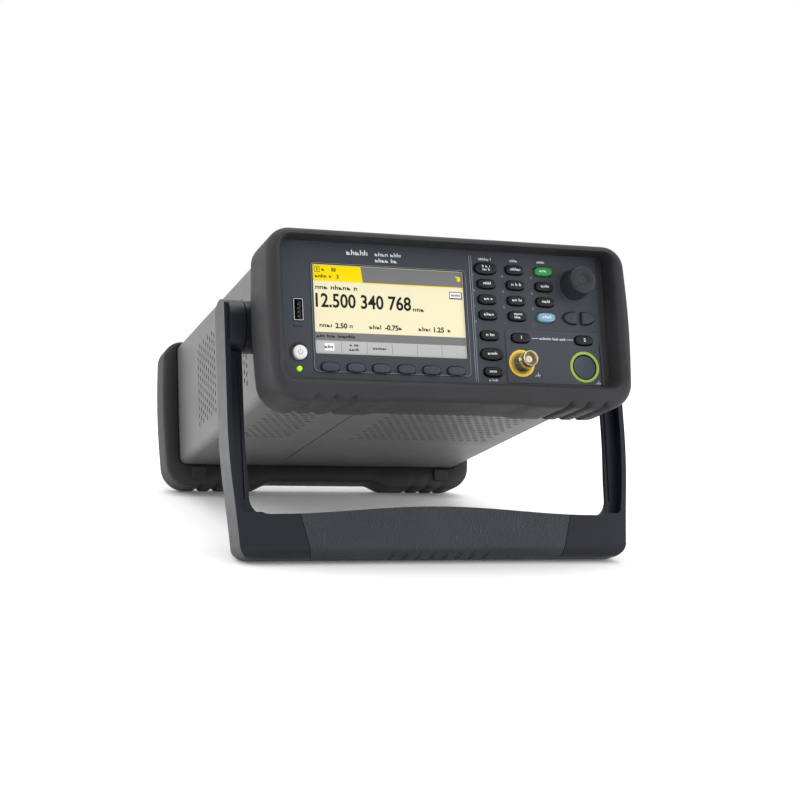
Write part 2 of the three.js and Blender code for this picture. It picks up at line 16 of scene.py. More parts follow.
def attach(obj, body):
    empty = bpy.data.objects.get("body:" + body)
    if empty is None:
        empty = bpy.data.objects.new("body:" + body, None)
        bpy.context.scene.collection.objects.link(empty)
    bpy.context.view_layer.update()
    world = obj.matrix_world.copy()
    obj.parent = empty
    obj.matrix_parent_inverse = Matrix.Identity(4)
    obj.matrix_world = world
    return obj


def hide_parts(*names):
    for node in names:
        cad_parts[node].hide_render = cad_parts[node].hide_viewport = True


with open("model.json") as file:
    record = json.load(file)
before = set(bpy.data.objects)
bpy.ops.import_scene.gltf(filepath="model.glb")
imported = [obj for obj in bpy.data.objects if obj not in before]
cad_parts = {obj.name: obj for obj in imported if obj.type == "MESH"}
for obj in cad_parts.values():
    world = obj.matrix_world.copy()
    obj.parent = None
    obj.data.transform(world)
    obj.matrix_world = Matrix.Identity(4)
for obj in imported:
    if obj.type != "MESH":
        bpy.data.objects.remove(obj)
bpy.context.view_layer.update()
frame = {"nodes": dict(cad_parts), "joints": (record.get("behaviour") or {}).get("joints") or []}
NODES = frame["nodes"]
SCENE = bpy.context.scene

# ---- where the unit stands
JOINTS = {joint["name"]: joint for joint in frame["joints"]}
REARWARD = Vector(JOINTS["power_button_press"]["axis"])  # the unit's +Y in the row frame
TILT = atan2(-REARWARD.z, REARWARD.y)
TURN = Matrix.Rotation(-TILT, 4, "X")
PIVOT = Vector((0, 46, 43.5))
ORIGIN = Vector(JOINTS["handle_swing"]["pos_m"]) - TURN @ (PIVOT * 0.001)
UNIT = Matrix.Translation(ORIGIN) @ TURN @ Matrix.Scale(0.001, 4)
UNIT_INV = UNIT.inverted()


def node_box(name):
    """A CAD node's extent in the unit's frame, in mm."""
    points = [UNIT_INV @ v.co for v in NODES[name].data.vertices]
    low = Vector(min(p[i] for p in points) for i in range(3))
    high = Vector(max(p[i] for p in points) for i in range(3))
    return low, high


def centre(name):
    """The X and Z of a CAD node's middle, in the unit's frame."""
    low, high = node_box(name)
    return (low.x + high.x) / 2, (low.z + high.z) / 2


def placed(name, data):
    """A new object that holds data, put into the scene."""
    obj = bpy.data.objects.new(name, data)
    SCENE.collection.objects.link(obj)
    return obj


# ---- materials
ROUGH_SWING = 0.08  # how far the roughness drifts to either side
COAT_ROUGH = 0.12


def shader(name, color, rough=0.5, metal=0.0, grain=0.0, grain_mm=0.5, tone=0.0,
           tone_mm=25.0, edge=0.0, coat=0.0, glow=0.0, kind="noise", spec=0.5):
    """A principled material with grain in its surface, drifting tone, and paler edges that are part wear and part
    painted highlight.
    """
    mat = bpy.data.materials.new(name)
    mat.use_nodes = True
    mat.diffuse_color = (*color, 1)
    nodes, links = mat.node_tree.nodes, mat.node_tree.links

    def feed(node, inputs):
        for key, value in inputs.items():
            if isinstance(value, bpy.types.NodeSocket):
                links.new(value, node.inputs[key])
            else:
                node.inputs[key].default_value = value

    def add(kind, inputs, **settings):
        node = nodes.new("ShaderNode" + kind)
        for key, value in settings.items():
            setattr(node, key, value)
        feed(node, inputs)
        return node.outputs

    where = add("TexCoord", {})["Object"]

    def noise(size_mm, detail):
        return add("TexNoise", {"Scale": 1000 / size_mm, "Detail": detail, "Vector": where})["Fac"]

    bsdf = nodes["Principled BSDF"]
    feed(bsdf, {"Base Color": (*color, 1), "Roughness": rough, "Metallic": metal, "Specular IOR Level": spec,
                "Coat Weight": coat, "Coat Roughness": COAT_ROUGH})
    shade = add("MapRange", {"From Min": 0.3, "From Max": 0.7, "To Min": 1 - tone, "To Max": 1 + tone,
                             "Value": noise(tone_mm, 3)})["Result"]
    tinted = add("Mix", {0: 1, 6: (*color, 1), 7: shade}, data_type="RGBA", blend_type="MULTIPLY")[2]
    # edge pales the edges by pointiness: part wear, part a painted highlight standing in for edge glints
    if edge:
        point = add("NewGeometry", {})["Pointiness"]
        wear_and_highlight_mask = add("MapRange", {"From Min": 0.52, "From Max": 0.62, "To Max": edge, "Value": point})["Result"]
        wear_and_highlight_colour = (*[min(1, c * 2.2 + 0.03) for c in color], 1)
        tinted = add("Mix", {0: wear_and_highlight_mask, 6: tinted, 7: wear_and_highlight_colour}, data_type="RGBA")[2]
    gloss = add("MapRange", {"To Min": max(0.03, rough - ROUGH_SWING), "To Max": min(1, rough + ROUGH_SWING),
                             "Value": noise(tone_mm / 4, 4)})["Result"]
    feed(bsdf, {"Base Color": tinted, "Roughness": gloss})
    if grain:
        if kind == "noise":
            height = noise(grain_mm, 2)
        else:
            height = add("TexVoronoi", {"Scale": 1000 / grain_mm, "Vector": where}, feature="SMOOTH_F1")["Distance"]
        bump = add("Bump", {"Strength": grain, "Distance": grain_mm / 2500, "Height": height})
        feed(bsdf, {"Normal": bump["Normal"]})
    if glow:
        feed(bsdf, {"Emission Color": (*color, 1), "Emission Strength": glow})
    return mat


RUBBER = shader("bumper_rubber", (0.022, 0.0215, 0.024), 0.56, grain=0.35, tone=0.10, spec=0.3)
PANEL = shader("panel_plastic", (0.029, 0.035, 0.046), 0.50, grain=0.25, grain_mm=0.35, tone=0.06, tone_mm=60,
               spec=0.4)
BLOCK = shader("panel_block_plastic", (0.033, 0.039, 0.052), 0.46, grain=0.25, grain_mm=0.35, tone=0.06, spec=0.4)
PAINT = shader("cover_paint", (0.126, 0.123, 0.123), 0.42, grain=0.30, grain_mm=0.6, tone=0.05, tone_mm=80,
               spec=0.45)
HANDLE = shader("handle_plastic", (0.0065, 0.008, 0.013), 0.32, grain=0.25, grain_mm=0.6, tone=0.12, spec=0.28)
GRIP = shader("grip_rubber", (0.014, 0.0175, 0.023), 0.44, grain=1.0, grain_mm=0.85, tone=0.18, tone_mm=40,
              kind="cells", spec=0.42)
KEY = shader("key_plastic", (0.006, 0.0065, 0.008), 0.42, grain=0.15, grain_mm=0.3, tone=0.1, edge=0.2, spec=0.3)
SOFTKEY = shader("softkey_plastic", (0.036, 0.042, 0.054), 0.45, grain=0.15, grain_mm=0.3, tone=0.1, edge=0.1,
                 spec=0.35)
GREEN_KEY = shader("green_key_plastic", (0.014, 0.22, 0.036), 0.40, grain=0.1, grain_mm=0.3, tone=0.08)
BLUE_KEY = shader("blue_key_plastic", (0.17, 0.32, 0.45), 0.42, grain=0.1, grain_mm=0.3, tone=0.05)
KNOB = shader("knob_rubber", (0.020, 0.021, 0.025), 0.58, grain=0.35, grain_mm=0.4, tone=0.15, edge=0.4, spec=0.3)
NICKEL = shader("gold_nickel", (0.86, 0.76, 0.54), 0.30, metal=1, grain=0.02, grain_mm=0.8, tone=0.08, tone_mm=6)
STEEL = shader("bright_steel", (0.60, 0.61, 0.63), 0.26, metal=1, grain=0.12, grain_mm=0.3, tone=0.06)
SHEET = shader("plated_sheet", (0.50, 0.51, 0.53), 0.38, metal=1, grain=0.15, grain_mm=0.8, tone=0.08)
REAR = shader("rear_panel_paint", (0.20, 0.20, 0.205), 0.45, grain=0.25, grain_mm=0.6, tone=0.05)
BLACK = shader("black_plastic", (0.008, 0.008, 0.009), 0.45, grain=0.2, tone=0.1, edge=0.3, spec=0.35)
# Near-black so the vent slots look dark: the tray's colour carries painted shade of the unit's inside.
TRAY_SHADE = shader("tray_painted_shade", (0.012, 0.012, 0.013), 0.6, grain=0.2, grain_mm=0.8, tone=0.1, spec=0.2)
BOARD = shader("circuit_board", (0.012, 0.10, 0.035), 0.35, grain=0.4, grain_mm=2.0, tone=0.35, tone_mm=4, coat=0.3)
SILICONE = shader("keypad_silicone", (0.06, 0.06, 0.065), 0.7, grain=0.2, grain_mm=0.8, tone=0.08)
WHITE = shader("white_plastic", (0.72, 0.72, 0.72), 0.28, tone=0.02, tone_mm=5, coat=0.3)
IVORY = shader("dielectric", (0.70, 0.66, 0.58), 0.4, tone=0.04, tone_mm=3)
YELLOW = shader("yellow_ring", (0.72, 0.50, 0.03), 0.38, grain=0.1, grain_mm=0.4, tone=0.05)
LIME = shader("green_ring", (0.27, 0.41, 0.045), 0.38, grain=0.1, grain_mm=0.4, tone=0.05)
LED = shader("led_lens", (0.36, 0.75, 0.01), 0.25, tone=0.1, tone_mm=1.5, glow=0.7)
INK = shader("white_print", (0.72, 0.74, 0.76), 0.55, tone=0.04, tone_mm=3)
DIM_INK = shader("grey_print", (0.22, 0.24, 0.27), 0.55, tone=0.04, tone_mm=3)
SCREEN_LOOK = {"tone_mm": 30, "spec": 0.15}
CREAM = shader("screen_cream", (0.525, 0.487, 0.33), 0.3, tone=0.015, glow=0.55, **SCREEN_LOOK)
TAB = shader("screen_yellow", (0.57, 0.44, 0.0), 0.3, tone=0.02, tone_mm=30, glow=0.55, spec=0.1)
BAR = shader("screen_grey", (0.15, 0.15, 0.15), 0.3, tone=0.04, glow=0.15, **SCREEN_LOOK)
PALE = shader("screen_pale", (0.32, 0.32, 0.325), 0.3, tone=0.02, glow=0.4, **SCREEN_LOOK)
GLARE = shader("screen_white", (0.56, 0.56, 0.56), 0.22, tone=0.02, tone_mm=30, glow=0.55)
PIXEL = shader("screen_black", (0.006, 0.006, 0.007), 0.3, tone=0.05, tone_mm=3, spec=0.2)


# ---- building pieces
SLOTS = {RUBBER: "bumper_rubber", PANEL: "panel_plastic", BLOCK: "panel_plastic", BLACK: "black_plastic",
         HANDLE: "handle_plastic"}


def link(name, mesh, material, body, slot=None, replaces=()):
    """The mesh as a piece on that body. A slot is worked out, from the material where none is given ("" for none),
    but it is not used.
    """
    obj = placed(name, mesh)
    mesh.materials.clear()
    mesh.materials.append(material)
    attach(obj, body)
    slot = SLOTS.get(material) if slot is None else slot
    if replaces:
        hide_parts(*replaces)
    return obj


def welded(name, verts, faces, dist=1e-7, middle=None):
    """A mesh from points in the unit's frame, its normals turned outwards. An open skin can't be told
    inside from out, so it is turned to face away from middle."""
    mesh = bpy.data.meshes.new(name)
    mesh.from_pydata([UNIT @ Vector(v) for v in verts], [], faces)
    bm = bmesh.new()
    bm.from_mesh(mesh)
    bmesh.ops.remove_doubles(bm, verts=bm.verts, dist=dist)
    bmesh.ops.recalc_face_normals(bm, faces=bm.faces)
    if middle:
        widest = max(bm.faces, key=lambda f: f.calc_area())
        if (widest.calc_center_median() - UNIT @ Vector(middle)).dot(widest.normal) < 0:
            bmesh.ops.reverse_faces(bm, faces=bm.faces)
    bm.to_mesh(mesh)
    bm.free()
    return mesh


def mesh_of(name, verts, faces, sharp=35):
    mesh = welded(name, verts, faces)
    smooth(mesh, sharp)
    return mesh


def smooth(mesh, sharp=35):
    mesh.shade_smooth()
    mesh.set_sharp_from_angle(angle=radians(sharp))


def bevel(obj, mm, segments=2, angle=35):
    mod = obj.modifiers.new("bevel", "BEVEL")
    mod.width = mm / 1000
    mod.segments = segments
    mod.limit_method = "ANGLE"
    mod.angle_limit = radians(angle)
    mod.harden_normals = True
    return obj


def applied(owner):
    """The owner's mesh with its modifiers carried out, as a new mesh. The owner is removed."""
    graph = bpy.context.evaluated_depsgraph_get()
    graph.update()
    mesh = bpy.data.meshes.new_from_object(owner.evaluated_get(graph))
    bpy.data.objects.remove(owner)
    return mesh


def carve(mesh, cutters, operation="DIFFERENCE"):
    """mesh less each of the cutter meshes, or joined to or common with them."""
    owner = placed("work", mesh)
    tools = [placed("tool", cutter) for cutter in cutters]
    for tool in tools:
        mod = owner.modifiers.new("carve", "BOOLEAN")
        mod.object = tool
        mod.operation = operation
        mod.solver = "EXACT"
    result = applied(owner)
    for tool in tools:
        bpy.data.objects.remove(tool)
    smooth(result)
    return result


def loft(rings, closed=False):
    """Verts and faces of a skin through rings of equal length. closed joins the last ring to the first."""
    n = len(rings[0])
    verts = [p for ring in rings for p in ring]
    faces = []
    spans = len(rings) if closed else len(rings) - 1
    for s in range(spans):
        t = (s + 1) % len(rings)
        for i in range(n):
            j = (i + 1) % n
            faces.append((s * n + i, s * n + j, t * n + j, t * n + i))
    if not closed:
        faces.append(tuple(range(n)))
        faces.append(tuple(range((len(rings) - 1) * n, len(rings) * n)))
    return verts, faces


def arc(cx, cz, r, a0, a1, steps):
    angles = [radians(a0 + (a1 - a0) * i / steps) for i in range(steps + 1)]
    return [(cx + r * cos(a), cz + r * sin(a)) for a in angles]


def rounded(cx, cz, w, h, r, steps=6):
    x, z = w / 2 - r, h / 2 - r
    return (arc(cx + x, cz - z, r, -90, 0, steps) + arc(cx + x, cz + z, r, 0, 90, steps)
            + arc(cx - x, cz + z, r, 90, 180, steps) + arc(cx - x, cz - z, r, 180, 270, steps))


def circle(cx, cz, r, steps=32):
    return arc(cx, cz, r, 0, 360, steps)[:-1]


def along_y(outline, y0, y1):
    return loft([ring_at(outline, y) for y in (y0, y1)])


def along_x(outline, x0, x1):
    return loft([[(x, y, z) for y, z in outline] for x in (x0, x1)])


def quad(u0, u1, v0, v1):
    return [(u0, v0), (u1, v0), (u1, v1), (u0, v1)]


def box(x0, x1, y0, y1, z0, z1):
    return along_y(quad(x0, x1, z0, z1), y0, y1)


def merged(*solids):
    """Several solids' verts and faces as one list."""
    verts, faces = [], []
    for v, f in solids:
        start = len(verts)
        verts += list(v)
        faces += [tuple(i + start for i in face) for face in f]
    return verts, faces


def piece(name, solid, material, body="chassis", bevel_mm=0.0, sharp=35, segments=2, **extra):
    obj = link(name, mesh_of(name, *solid, sharp=sharp), material, body, **extra)
    if bevel_mm:
        bevel(obj, bevel_mm, segments)
    return obj


def ring_at(outline, y):
    return [(x, y, z) for x, z in outline]


def ring_x(x, y, z, r, steps):
    """A circle square to X."""
    return [(x, u, v) for u, v in circle(y, z, r, steps)]


def lathe(profile, x, z, steps=48):
    """A turned solid about the line through (x, z) along Y. The profile is pairs of radius and y;
    it closes on the axis where it starts or ends there."""
    return loft([ring_at(circle(x, z, max(r, 1e-4), steps), y) for r, y in profile],
                closed=profile[0] == profile[-1])


def cut_sheet(outline, holes):
    """A flat outline less its holes: the loops' indices, then the sheet's points, triangles and origins."""
    loops, start = [], 0
    for line in (outline, *holes):
        loops.append(list(range(start, start + len(line))))
        start += len(line)
    points = [Vector(p) for line in (outline, *holes) for p in line]
    out, _, tris, origin, *_ = delaunay_2d_cdt(points, [], loops, 2, 1e-5)
    return loops, out, tris, origin


def plate(outline, holes, y0, y1):
    """A flat plate with holes, from y0 to y1, drawn in X and Z."""
    loops, out, tris, origin = cut_sheet(outline, holes)
    new_of = {old: new for new, olds in enumerate(origin) for old in olds}
    n = len(out)
    verts = [(p.x, y0, p.y) for p in out] + [(p.x, y1, p.y) for p in out]
    faces = [tuple(t) for t in tris] + [tuple(i + n for i in reversed(t)) for t in tris]
    for loop in loops:
        for a, b in zip(loop, loop[1:] + loop[:1]):
            a, b = new_of[a], new_of[b]
            faces.append((a, b, b + n, a + n))
    return verts, faces


# ---- lettering
FONT_CACHE = {}
THIN = 0.06           # how far a print stands up
CAPITAL = 0.70        # height of a capital in the font, for a size of 1
WORD = 2 ** 32


def glyphs(string, bold):
    """The verts and faces of extruded lettering, made once for each string and weight."""
    if (string, bold) not in FONT_CACHE:
        curve = bpy.data.curves.new("letters", "FONT")
        curve.body = string
        curve.align_x = "CENTER"
        curve.align_y = "CENTER"
        curve.resolution_u = 3
        curve.extrude = 0.5
        curve.offset = bold
        mesh = applied(placed("letters", curve))
        FONT_CACHE[string, bold] = ([tuple(v.co) for v in mesh.vertices],
                                    [tuple(f.vertices) for f in mesh.polygons])
        bpy.data.meshes.remove(mesh)
    return FONT_CACHE[string, bold]


def letters(string, x, z, height, y, width=1.0, align=0.0, bold=0.018, thick=THIN):
    """Raised lettering facing the front. height is that of a capital; align -1 starts at x, 1 ends there."""
    verts, faces = glyphs(string, bold)
    scale = height / CAPITAL
    low, high = min(v[0] for v in verts), max(v[0] for v in verts)
    shift = -low if align < 0 else -high if align > 0 else -(low + high) / 2
    return [(x + (u + shift) * scale * width, y - w * 2 * thick - thick, z + v * scale) for u, v, w in verts], faces


def ribbon(points, width, y, thick=THIN):
    """A flat printed line of that width through points in X and Z."""
    solids = []
    for (x0, z0), (x1, z1) in zip(points, points[1:]):
        d = Vector((x1 - x0, z1 - z0))
        n = Vector((-d.y, d.x)).normalized() * width / 2
        strip = [(x0 + n.x, z0 + n.y), (x0 - n.x, z0 - n.y), (x1 - n.x, z1 - n.y), (x1 + n.x, z1 + n.y)]
        solids.append(along_y(strip, y - thick, y))
    return merged(*solids)


# ---- chassis sleeve with its vents
SLEEVE = Sizes(half=106.4, high=88.3, corner=5, y0=0.4, y1=271.0, sheet=1.2)
SEAM = (-35.0, -34.2)
VENT = Sizes(length=3.9, width=2.0, pitch=5.65)
SIDE_VENTS = ((76.5, 201), (16.3, 71))       # the rows' Y, and Z within a row
FLOOR_ROWS = (81, 162)                       # the rows' Y
FLOOR_ZONES = ((-88.8, -56.5), (-10, 87))    # X within a row, left and right of the seam


def vent_slots(rows, across):
    """Staggered rows that step along U between the two ends in rows. Each slot's long way is V, and
    the slots of a row start between the two ends in across."""
    slots = []
    half = (VENT.length - VENT.width) / 2
    r = VENT.width / 2
    for row in range(int((rows[1] - rows[0]) / VENT.pitch) + 1):
        u = rows[0] + VENT.pitch * row
        v = across[0] + VENT.pitch / 2 * (row % 2)
        while v <= across[1]:
            ends = arc(0, half, r, 0, 180, 4) + arc(0, -half, r, 180, 360, 4)
            slots.append([(u + a, v + b) for a, b in ends])
            v += VENT.pitch
    return slots


def flat_skin(outline, holes, place):
    """One face with holes: place(u, v) puts each drawn point on the sleeve."""
    _, out, tris, _ = cut_sheet(outline, holes)
    return [place(p.x, p.y) for p in out], [tuple(t) for t in tris]


def build_cover():
    half, high, corner = SLEEVE.half, SLEEVE.high, SLEEVE.corner
    y0, y1 = SLEEVE.y0, SLEEVE.y1
    flat = half - corner

    side_slots = vent_slots(*SIDE_VENTS)
    left_slots, right_slots = [[[(x, y) for y, x in slot] for slot in vent_slots(FLOOR_ROWS, zone)]
                               for zone in FLOOR_ZONES]

    skins = [
        flat_skin(quad(-flat, SEAM[0], y0, y1), left_slots, lambda u, v: (u, v, 0)),
        flat_skin(quad(SEAM[1], flat, y0, y1), right_slots, lambda u, v: (u, v, 0)),
        flat_skin(quad(-flat, flat, y0, y1), [], lambda u, v: (u, v, high)),
        flat_skin(quad(y0, y1, corner, high - corner), side_slots, lambda u, v: (-half, u, v)),
        flat_skin(quad(y0, y1, corner, high - corner), side_slots, lambda u, v: (half, u, v)),
    ]
    upper = high - corner
    for cx, cz, a0 in ((flat, corner, -90), (flat, upper, 0), (-flat, upper, 90), (-flat, corner, 180)):
        edge = arc(cx, cz, corner, a0, a0 + 90, 6)
        verts = [(x, y, z) for y in (y0, y1) for x, z in edge]
        n = len(edge)
        skins.append((verts, [(i, i + 1, i + 1 + n, i + n) for i in range(n - 1)]))
    verts, faces = merged(*skins)
    owner = placed("cover_skin", welded("cover_skin", verts, faces, 2e-6, (0, 130, high / 2)))
    thick = owner.modifiers.new("sheet", "SOLIDIFY")
    thick.thickness = SLEEVE.sheet / 1000
    thick.offset = -1
    solid = applied(owner)
    smooth(solid, 30)
    solid.name = "cover"
    link("painted_cover", solid, PAINT, "chassis", slot="chassis_paint", replaces=["chassis_cover"])


# ---- bumpers
FRONT_BUMPER = Sizes(half=116.5, foot=-13.2, arch=-11.9, y0=-12.5, y1=29.0)
REAR_BUMPER = Sizes(half=117.6, foot=-16.2, arch=-11.6, y0=262.0, y1=290.7)
BUMPER_TOP = 90.6
HEEL_CORNER, TOP_CORNER = 17, 14
LIP = Sizes(half=104.6, low=2.2, high=85.6, corner=4)
FOOT_GROOVES = (-90.5, -79.0, -67.5, 70.5, 82.0, 93.5)
OUTLINE_STEPS = (70, 10, 14, 10, 24)


def spread(p, q, steps):
    return [(p[0] + (q[0] - p[0]) * i / steps, p[1] + (q[1] - p[1]) * i / steps) for i in range(steps)]


def mirrored(right):
    """A whole outline from its right half, bottom middle to top middle."""
    return right + [(-x, z) for x, z in reversed(right[1:-1])]


def ease(t):
    t = min(1.0, max(0.0, t))
    return t * t * (3 - 2 * t)


def bumper_outline(b):
    foot, heel, side, corner, top = OUTLINE_STEPS
    low = (b.half - 1.5 - HEEL_CORNER, b.foot)
    right = [(x, z + (b.arch - b.foot) * (1 - ease((x - 38) / 13)))
             for x, z in spread((0, b.foot), low, foot)]
    lower = arc(low[0], b.foot + HEEL_CORNER, HEEL_CORNER, -90, -4, heel)
    upper = arc(b.half - 1 - TOP_CORNER, BUMPER_TOP - TOP_CORNER, TOP_CORNER, 4, 90, corner)
    right += lower[:-1]
    for i in range(side):
        t = i / side
        x = lower[-1][0] + (upper[0][0] - lower[-1][0]) * t + 1.3 * sin(pi * t)
        right.append((x, lower[-1][1] + (upper[0][1] - lower[-1][1]) * t))
    right += upper[:-1]
    right += spread(upper[-1], (0, BUMPER_TOP), top) + [(0, BUMPER_TOP)]
    return mirrored(right)


def box_outline(half, low, high, r):
    """A rounded rectangle with the bumper outline's own number of points, stretch for stretch."""
    foot, heel, side, corner, top = OUTLINE_STEPS
    right = spread((0, low), (half - r, low), foot)
    lower = arc(half - r, low + r, r, -90, 0, heel)
    upper = arc(half - r, high - r, r, 0, 90, corner)
    right += lower[:-1] + spread(lower[-1], upper[0], side) + upper[:-1]
    right += spread(upper[-1], (0, high), top) + [(0, high)]
    return mirrored(right)


def inset(outline, d):
    """The outline moved inwards by d along its normals."""
    n = len(outline)
    moved = []
    for i, (x, z) in enumerate(outline):
        (xa, za), (xb, zb) = outline[i - 1], outline[(i + 1) % n]
        tx, tz = xb - xa, zb - za
        size = hypot(tx, tz) or 1
        moved.append((x - tz / size * d, z + tx / size * d))
    return moved


def grooved(outline, depth, slide=0.0):
    """Rounded grooves pressed up into the two feet; slide moves them sideways."""
    result = []
    for x, z in outline:
        lift = 0.0
        if z < -1:
            for g in FOOT_GROOVES:
                t = (x - slide - g) / 2.4
                if abs(t) < 1:
                    lift = max(lift, cos(t * pi / 2) ** 1.2)
        result.append((x, z + 1.3 * depth * lift))
    return result


def bumper(word, sizes, rows, lip_rows):
    """rows: (y, inset, groove depth, groove slide) over the outer skin; lip_rows: (y, outline) inside."""
    outer = bumper_outline(sizes)
    rings = [ring_at(grooved(inset(outer, d), g, slide), y) for y, d, g, slide in rows]
    rings += [ring_at(outline, y) for y, outline in lip_rows]
    piece(f"{word}_bumper_rubber", loft(rings, closed=True), RUBBER, replaces=[f"{word}_bumper"], sharp=50)


def lip_outline(grow):
    """The mouth flared by grow, but hardly at the top, where the rubber is only 5 mm thick."""
    return box_outline(LIP.half + grow, LIP.low - grow, LIP.high + 0.07 * grow, LIP.corner + grow)


def rounding(y_flat, y_end, d_end, steps, groove=0.0, slide=0.0):
    """Rows round an edge from the side skin at y_flat to the end face at y_end."""
    rows = []
    for i in range(1, steps + 1):
        a = pi / 2 * i / steps
        rows.append((y_flat + (y_end - y_flat) * sin(a), d_end * (1 - cos(a)),
                     groove * min(1, 1.25 * cos(a)), slide * (1 + 1.2 * i / steps)))
    return rows


def build_bumpers():
    sleeve = box_outline(SLEEVE.half + 0.4, -0.4, SLEEVE.high + 0.4, SLEEVE.corner + 0.4)
    root = box_outline(107.6, -1.2, 89.5, 6)
    y0, y1 = FRONT_BUMPER.y0, FRONT_BUMPER.y1
    rows = [(y1, 2.2, 0.6, -2.4), (y1 - 0.5, 0.9, 1.2, -2.4), (y1 - 1.6, 0.2, 1.8, -2.2), (y1 - 3, 0, 2.0, -2.0),
            (18, 0, 2.0, -1.0), (6, 0, 2.0, 0), (y0 + 7, 0, 2.0, 1.0)]
    rows += rounding(y0 + 7, y0 + 0.2, 4.4, 8, 2.0, 1.0)
    lips = [(y0, lip_outline(6.6)), (y0 + 0.1, lip_outline(5.6)), (y0 + 0.6, lip_outline(4.5)),
            (y0 + 1.6, lip_outline(3.4)), (y0 + 3.4, lip_outline(2.5)), (-5, lip_outline(1.3)),
            (-1.2, lip_outline(0.25)), (-0.35, lip_outline(0)), (-0.35, sleeve), (10, sleeve),
            (y1 - 0.8, sleeve), (y1, root)]
    bumper("front", FRONT_BUMPER, rows, lips)

    y0, y1 = REAR_BUMPER.y0, REAR_BUMPER.y1
    rows = [(y0, 2.0, 0.6, 0), (y0 + 0.6, 0.8, 1.2, 0), (y0 + 1.8, 0.2, 1.8, 0), (y0 + 3.4, 0, 2.0, 0),
            (y0 + 10, 0, 2.0, 0), (y1 - 8.5, 0, 2.0, 0)]
    rows += rounding(y1 - 8.5, y1, 4.6, 8, 1.8)
    lips = [(y1, lip_outline(4.6)), (y1 - 0.3, lip_outline(3.0)), (y1 - 1.2, lip_outline(1.4)),
            (y1 - 2.8, lip_outline(0.5)), (y1 - 5, lip_outline(0.1)), (272, lip_outline(0)), (271.5, lip_outline(0)),
            (271.5, sleeve), (268, sleeve), (y0 + 0.8, sleeve), (y0, root)]
    bumper("rear", REAR_BUMPER, rows, lips)
    for side in (-1, 1):
        solid = along_y(rounded(side * 93, -6.2, 11, 8.4, 1.2), y0 - 1.6, y0 + 1)
        piece(f"rear_bumper_pad_{'left' if side < 0 else 'right'}", solid, RUBBER, bevel_mm=0.6)


# ---- handle
HAND = Sizes(outer=130.55, inner=118.6, outer_foot=125.4, inner_foot=117.0, depth=22.0, hub=16.5,
             bottom=-98.0, bar_top=-72.0, arch=-67.0, corner=8.5, gusset=11.0, heel=8.5)
GRIP_ZONE = Sizes(top=91.0, bottom=81.0)
FLANGE = 3.2          # thickness of the arm's outer flange
WEB = (42.0, 45.0)    # the thin wall inside the flange, front and rear
ARM_EDGE = [(125.4, -89), (127.2, -68), (129.4, -45), (130.4, -25), (130.55, -5), (130.55, 30)]  # outer edge, X and Z


def handle_side():
    h = HAND
    front, rear = PIVOT.y - h.depth / 2, PIVOT.y + h.depth / 2
    r, low = h.heel, h.bottom
    outline = arc(rear - r, low + r, r, -90, 0, 10)
    outline += arc(PIVOT.y, PIVOT.z, h.hub, 48.2, 131.8, 20)
    return outline + arc(front + r, low + r, r, 180, 270, 10)


def curve_through(points, steps):
    """A smooth line through points (Catmull-Rom)."""
    padded = [points[0], *points, points[-1]]
    line = []
    for p0, p1, p2, p3 in zip(padded, padded[1:], padded[2:], padded[3:]):
        for i in range(steps):
            t = i / steps
            line.append(tuple(0.5 * (2 * b + (c - a) * t + (2 * a - 5 * b + 4 * c - d) * t * t
                                     + (3 * b - a - 3 * c + d) * t ** 3) for a, b, c, d in zip(p0, p1, p2, p3)))
    return line + [points[-1]]


def handle_front():
    h = HAND
    right = arc(h.outer_foot - h.corner, h.bottom + h.corner, h.corner, -90, -4, 10)
    right += curve_through(ARM_EDGE, 4)
    right += [(h.outer, PIVOT.z + h.hub + 2), (h.inner, PIVOT.z + h.hub + 2)]
    right += [(h.inner_foot + (h.inner - h.inner_foot) * ease(t), -59 + 41 * t)
              for t in (1, 0.75, 0.5, 0.25)]
    right += arc(h.inner_foot - h.gusset, h.bar_top + h.gusset, h.gusset, 0, -90, 12)
    for t in (i / 16 for i in range(1, 17)):
        x = (h.inner_foot - h.gusset) * (1 - t)
        right.append((x, h.bar_top + (h.arch - h.bar_top) * (0.5 - 0.5 * cos(pi * t))))
    return right + [(-x, z) for x, z in reversed(right[:-1])]


def arm_hollow(side):
    """The hollow beside an arm's web, seen from the front, from the bar up to the hub."""
    low = HAND.bar_top + 1.2
    edge = [(x - FLANGE, z) for x, z in curve_through(ARM_EDGE, 4) if z > low + 3]
    outline = [(80, low), (126.3 - FLANGE - 1.6, low), (126.6 - FLANGE, low + 1.6), *edge,
               (HAND.outer - FLANGE, PIVOT.z), (80, PIVOT.z)]
    return [(side * x, z) for x, z in outline]


